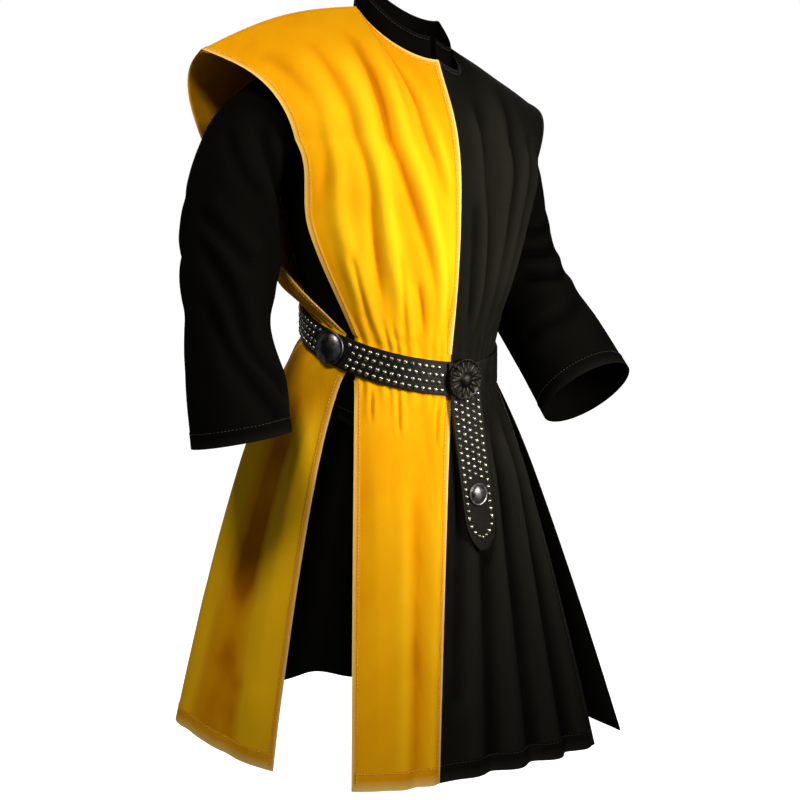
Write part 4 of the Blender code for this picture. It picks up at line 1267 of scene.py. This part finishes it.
def end_studs(surface, finish):
    """Studs down the hanging end in staggered columns, the outer ones past the concho and round the tip."""
    length = surface.flat[-1, :, 1].mean()
    concho_z = END_TOP[1] + (END_TIP[1] - END_TOP[1]) * END_CONCHO_PLACE
    concho_x = END_TOP[0] + (END_TIP[0] - END_TOP[0]) * END_CONCHO_PLACE
    bm = bmesh.new()
    count = int(length / STUD_PITCH)
    for column, offset in enumerate(END_STUD_COLUMNS):
        down = (np.arange(count) + END_STUD_SHIFT + STUD_STAGGER * (column % 2)) / count
        stop = END_STUD_STOP if abs(offset) > OUTER_COLUMN else END_CONCHO_PLACE
        down = down[(down > END_STUD_START) & (down < stop)]
        across = 0.5 + offset / END_WIDTH
        places, normals = sample(surface, np.full_like(down, across), down)
        gap = np.hypot(places[:, 0] - concho_x, places[:, 2] - concho_z)
        free = gap > END_CONCHO_RADIUS + STUD_ROOM
        add_studs(bm, (places + normals * LEATHER_WALL)[free], normals[free])
    turns = np.linspace(0, pi, TIP_STUDS)
    across = 0.5 - (0.5 - TIP_STUD_INSET) * np.cos(turns)
    down = END_STUD_STOP + TIP_STUD_DROP * np.sin(turns)
    places, normals = sample(surface, across, down)
    add_studs(bm, places + normals * LEATHER_WALL, normals)
    add_piece("end_studs", bm, finish)


def dome_concho(name, place, normal, radius, height, finish):
    """A turned disc with a rim and a dome."""
    bm = bmesh.new()
    profile = [(share * radius, rise * height) for share, rise in DOME_PROFILE]
    add_spun(bm, profile, facing_matrix(place, normal))
    add_piece(name + "_metal", bm, finish, stands_for=name)


def rosette_buckle(place, normal, finish):
    """A turned plate with a boss, a ring of petals and a beaded rim."""
    bm = bmesh.new()
    put = facing_matrix(place, normal)
    profile = [(share * BUCKLE_RADIUS, rise * BUCKLE_HEIGHT) for share, rise in ROSETTE_PROFILE]
    add_spun(bm, profile, put)
    for balls in (PETALS, RIM_BEADS):
        half_sizes = (BUCKLE_RADIUS * balls.half_length, BUCKLE_RADIUS * balls.half_width,
                      BUCKLE_HEIGHT * balls.half_rise)
        out = Matrix.Translation((BUCKLE_RADIUS * balls.out, 0, BUCKLE_HEIGHT * balls.rise))
        shape = out @ Matrix.Diagonal((*half_sizes, 1))
        for k in range(balls.count):
            turn = Matrix.Rotation(2 * pi * k / balls.count, 4, "Z")
            bmesh.ops.create_icosphere(bm, subdivisions=balls.fineness, radius=1, matrix=put @ turn @ shape)
    add_piece("buckle_metal", bm, finish, stands_for="buckle")


def dress():
    """All the pieces of the tunic, in their finishes."""
    yellow = twill(YELLOW_TWILL)
    black = twill(BLACK_TWILL)
    soft_black = twill(SHIRTING)
    pale_thread = thread("pale_waxed_thread", "#d9a83c", "#f3dc94")
    dark_thread = thread("black_waxed_thread", "#151512", "#34342e")
    strap = leather("black_bridle_leather")
    stud_steel = blackened_steel(STUD_STEEL)
    dark_steel = blackened_steel(CAST_STEEL)
    concho_steel = blackened_steel(CONCHO_STEEL)

    # Surcoat
    surcoat_panel("surcoat_front_right", FRONT, RIGHT, yellow, pale_thread)
    surcoat_panel("surcoat_front_left", FRONT, LEFT, black, dark_thread)
    surcoat_panel("surcoat_back_right", BACK, RIGHT, yellow, pale_thread)
    surcoat_panel("surcoat_back_left", BACK, LEFT, black, dark_thread)

    # Under-tunic
    for name, facing in (("under_front", FRONT), ("under_back", BACK)):
        under_panel(name, facing, soft_black, dark_thread)
    for name, side in (("sleeve_right", RIGHT), ("sleeve_left", LEFT)):
        sleeve(name, side, soft_black, dark_thread)
    collar(soft_black, dark_thread)

    # Belt
    belt_strap(strap)
    end_surface = belt_end(strap)
    belt_studs(stud_steel)
    end_studs(end_surface, stud_steel)
    places, normals = belt_outside(np.array([0.0, -radians(SIDE_CONCHO_ANGLE)]), 0.0, SEAM_GAP)
    buckle_place = places[0] + normals[0] * (LEATHER_WALL + SEAM_GAP)
    buckle_place[0] = END_TOP[0]
    rosette_buckle(buckle_place, normals[0], dark_steel)
    dome_concho("side_concho", places[1], normals[1], SIDE_CONCHO_RADIUS, SIDE_CONCHO_HEIGHT, concho_steel)
    places, normals = sample(end_surface, np.array([0.5]), np.array([END_CONCHO_PLACE]))
    end_place = places[0] + normals[0] * (LEATHER_WALL + SEAM_GAP * 2)
    dome_concho("end_concho", end_place, normals[0], END_CONCHO_RADIUS, END_CONCHO_HEIGHT, concho_steel)


def aim(thing, target):
    """Turns a camera or a light to look at a point."""
    thing.rotation_euler = (Vector(target) - thing.location).to_track_quat("-Z", "Y").to_euler()


def add_light(light):
    """An area light from a row of the table."""
    lamp = bpy.data.lights.new(light.name, "AREA")
    lamp.size = light.size
    lamp.spread = radians(light.spread)
    lamp.energy = light.power
    lamp.color = linear(light.colour)[:3]
    made = bpy.data.objects.new(light.name, lamp)
    bpy.context.scene.collection.objects.link(made)
    made.location = light.place
    aim(made, light.target)


def studio():
    """A pale floor, soft light and the camera."""
    bm = bmesh.new()
    bmesh.ops.create_grid(bm, x_segments=1, y_segments=1, size=FLOOR_SIZE)
    bmesh.ops.translate(bm, verts=bm.verts, vec=(0, 0, FLOOR_Z))
    mesh = bpy.data.meshes.new("floor")
    bm.to_mesh(mesh)
    bm.free()
    paper, tree, shader = new_material("white_studio_paper")
    place = add_node(tree, "ShaderNodeTexCoord").outputs["Object"]
    grain = add_node(tree, "ShaderNodeTexNoise", {"Vector": place, "Scale": 1000 / PAPER_GRAIN_MM})
    tone = add_node(tree, "ShaderNodeMapRange", {
        "Value": grain.outputs["Fac"], "To Min": PAPER_TONE.low, "To Max": PAPER_TONE.high})
    tree.links.new(tone.outputs["Result"], shader.inputs["Base Color"])
    shader.inputs["Roughness"].default_value = PAPER_ROUGH
    shader.inputs["Emission Color"].default_value = (1, 1, 1, 1)
    shader.inputs["Emission Strength"].default_value = FLOOR_GLOW
    mesh.materials.append(paper)
    floor = bpy.data.objects.new("floor", mesh)
    bpy.context.scene.collection.objects.link(floor)
    floor.visible_diffuse = False
    floor.visible_glossy = False

    # White to the camera, dim as a light
    world = bpy.data.worlds.new("studio")
    world.use_nodes = True
    tree = world.node_tree
    background = tree.nodes["Background"]
    seen = add_node(tree, "ShaderNodeLightPath").outputs["Is Camera Ray"]
    strength = add_node(tree, "ShaderNodeMapRange", {"Value": seen, "To Min": FILL_STRENGTH, "To Max": 1.0})
    tree.links.new(strength.outputs["Result"], background.inputs["Strength"])
    background.inputs["Color"].default_value = (1, 1, 1, 1)
    bpy.context.scene.world = world

    for light in LIGHTS:
        add_light(light)
    camera = bpy.data.objects.new("camera", bpy.data.cameras.new("camera"))
    camera.data.lens = CAMERA_LENS
    camera.data.sensor_width = SENSOR_WIDTH
    bpy.context.scene.collection.objects.link(camera)
    camera.location = CAMERA_PLACE
    aim(camera, AIM)
    bpy.context.scene.camera = camera
    bpy.context.scene.view_settings.view_transform = "Standard"


dress()
studio()
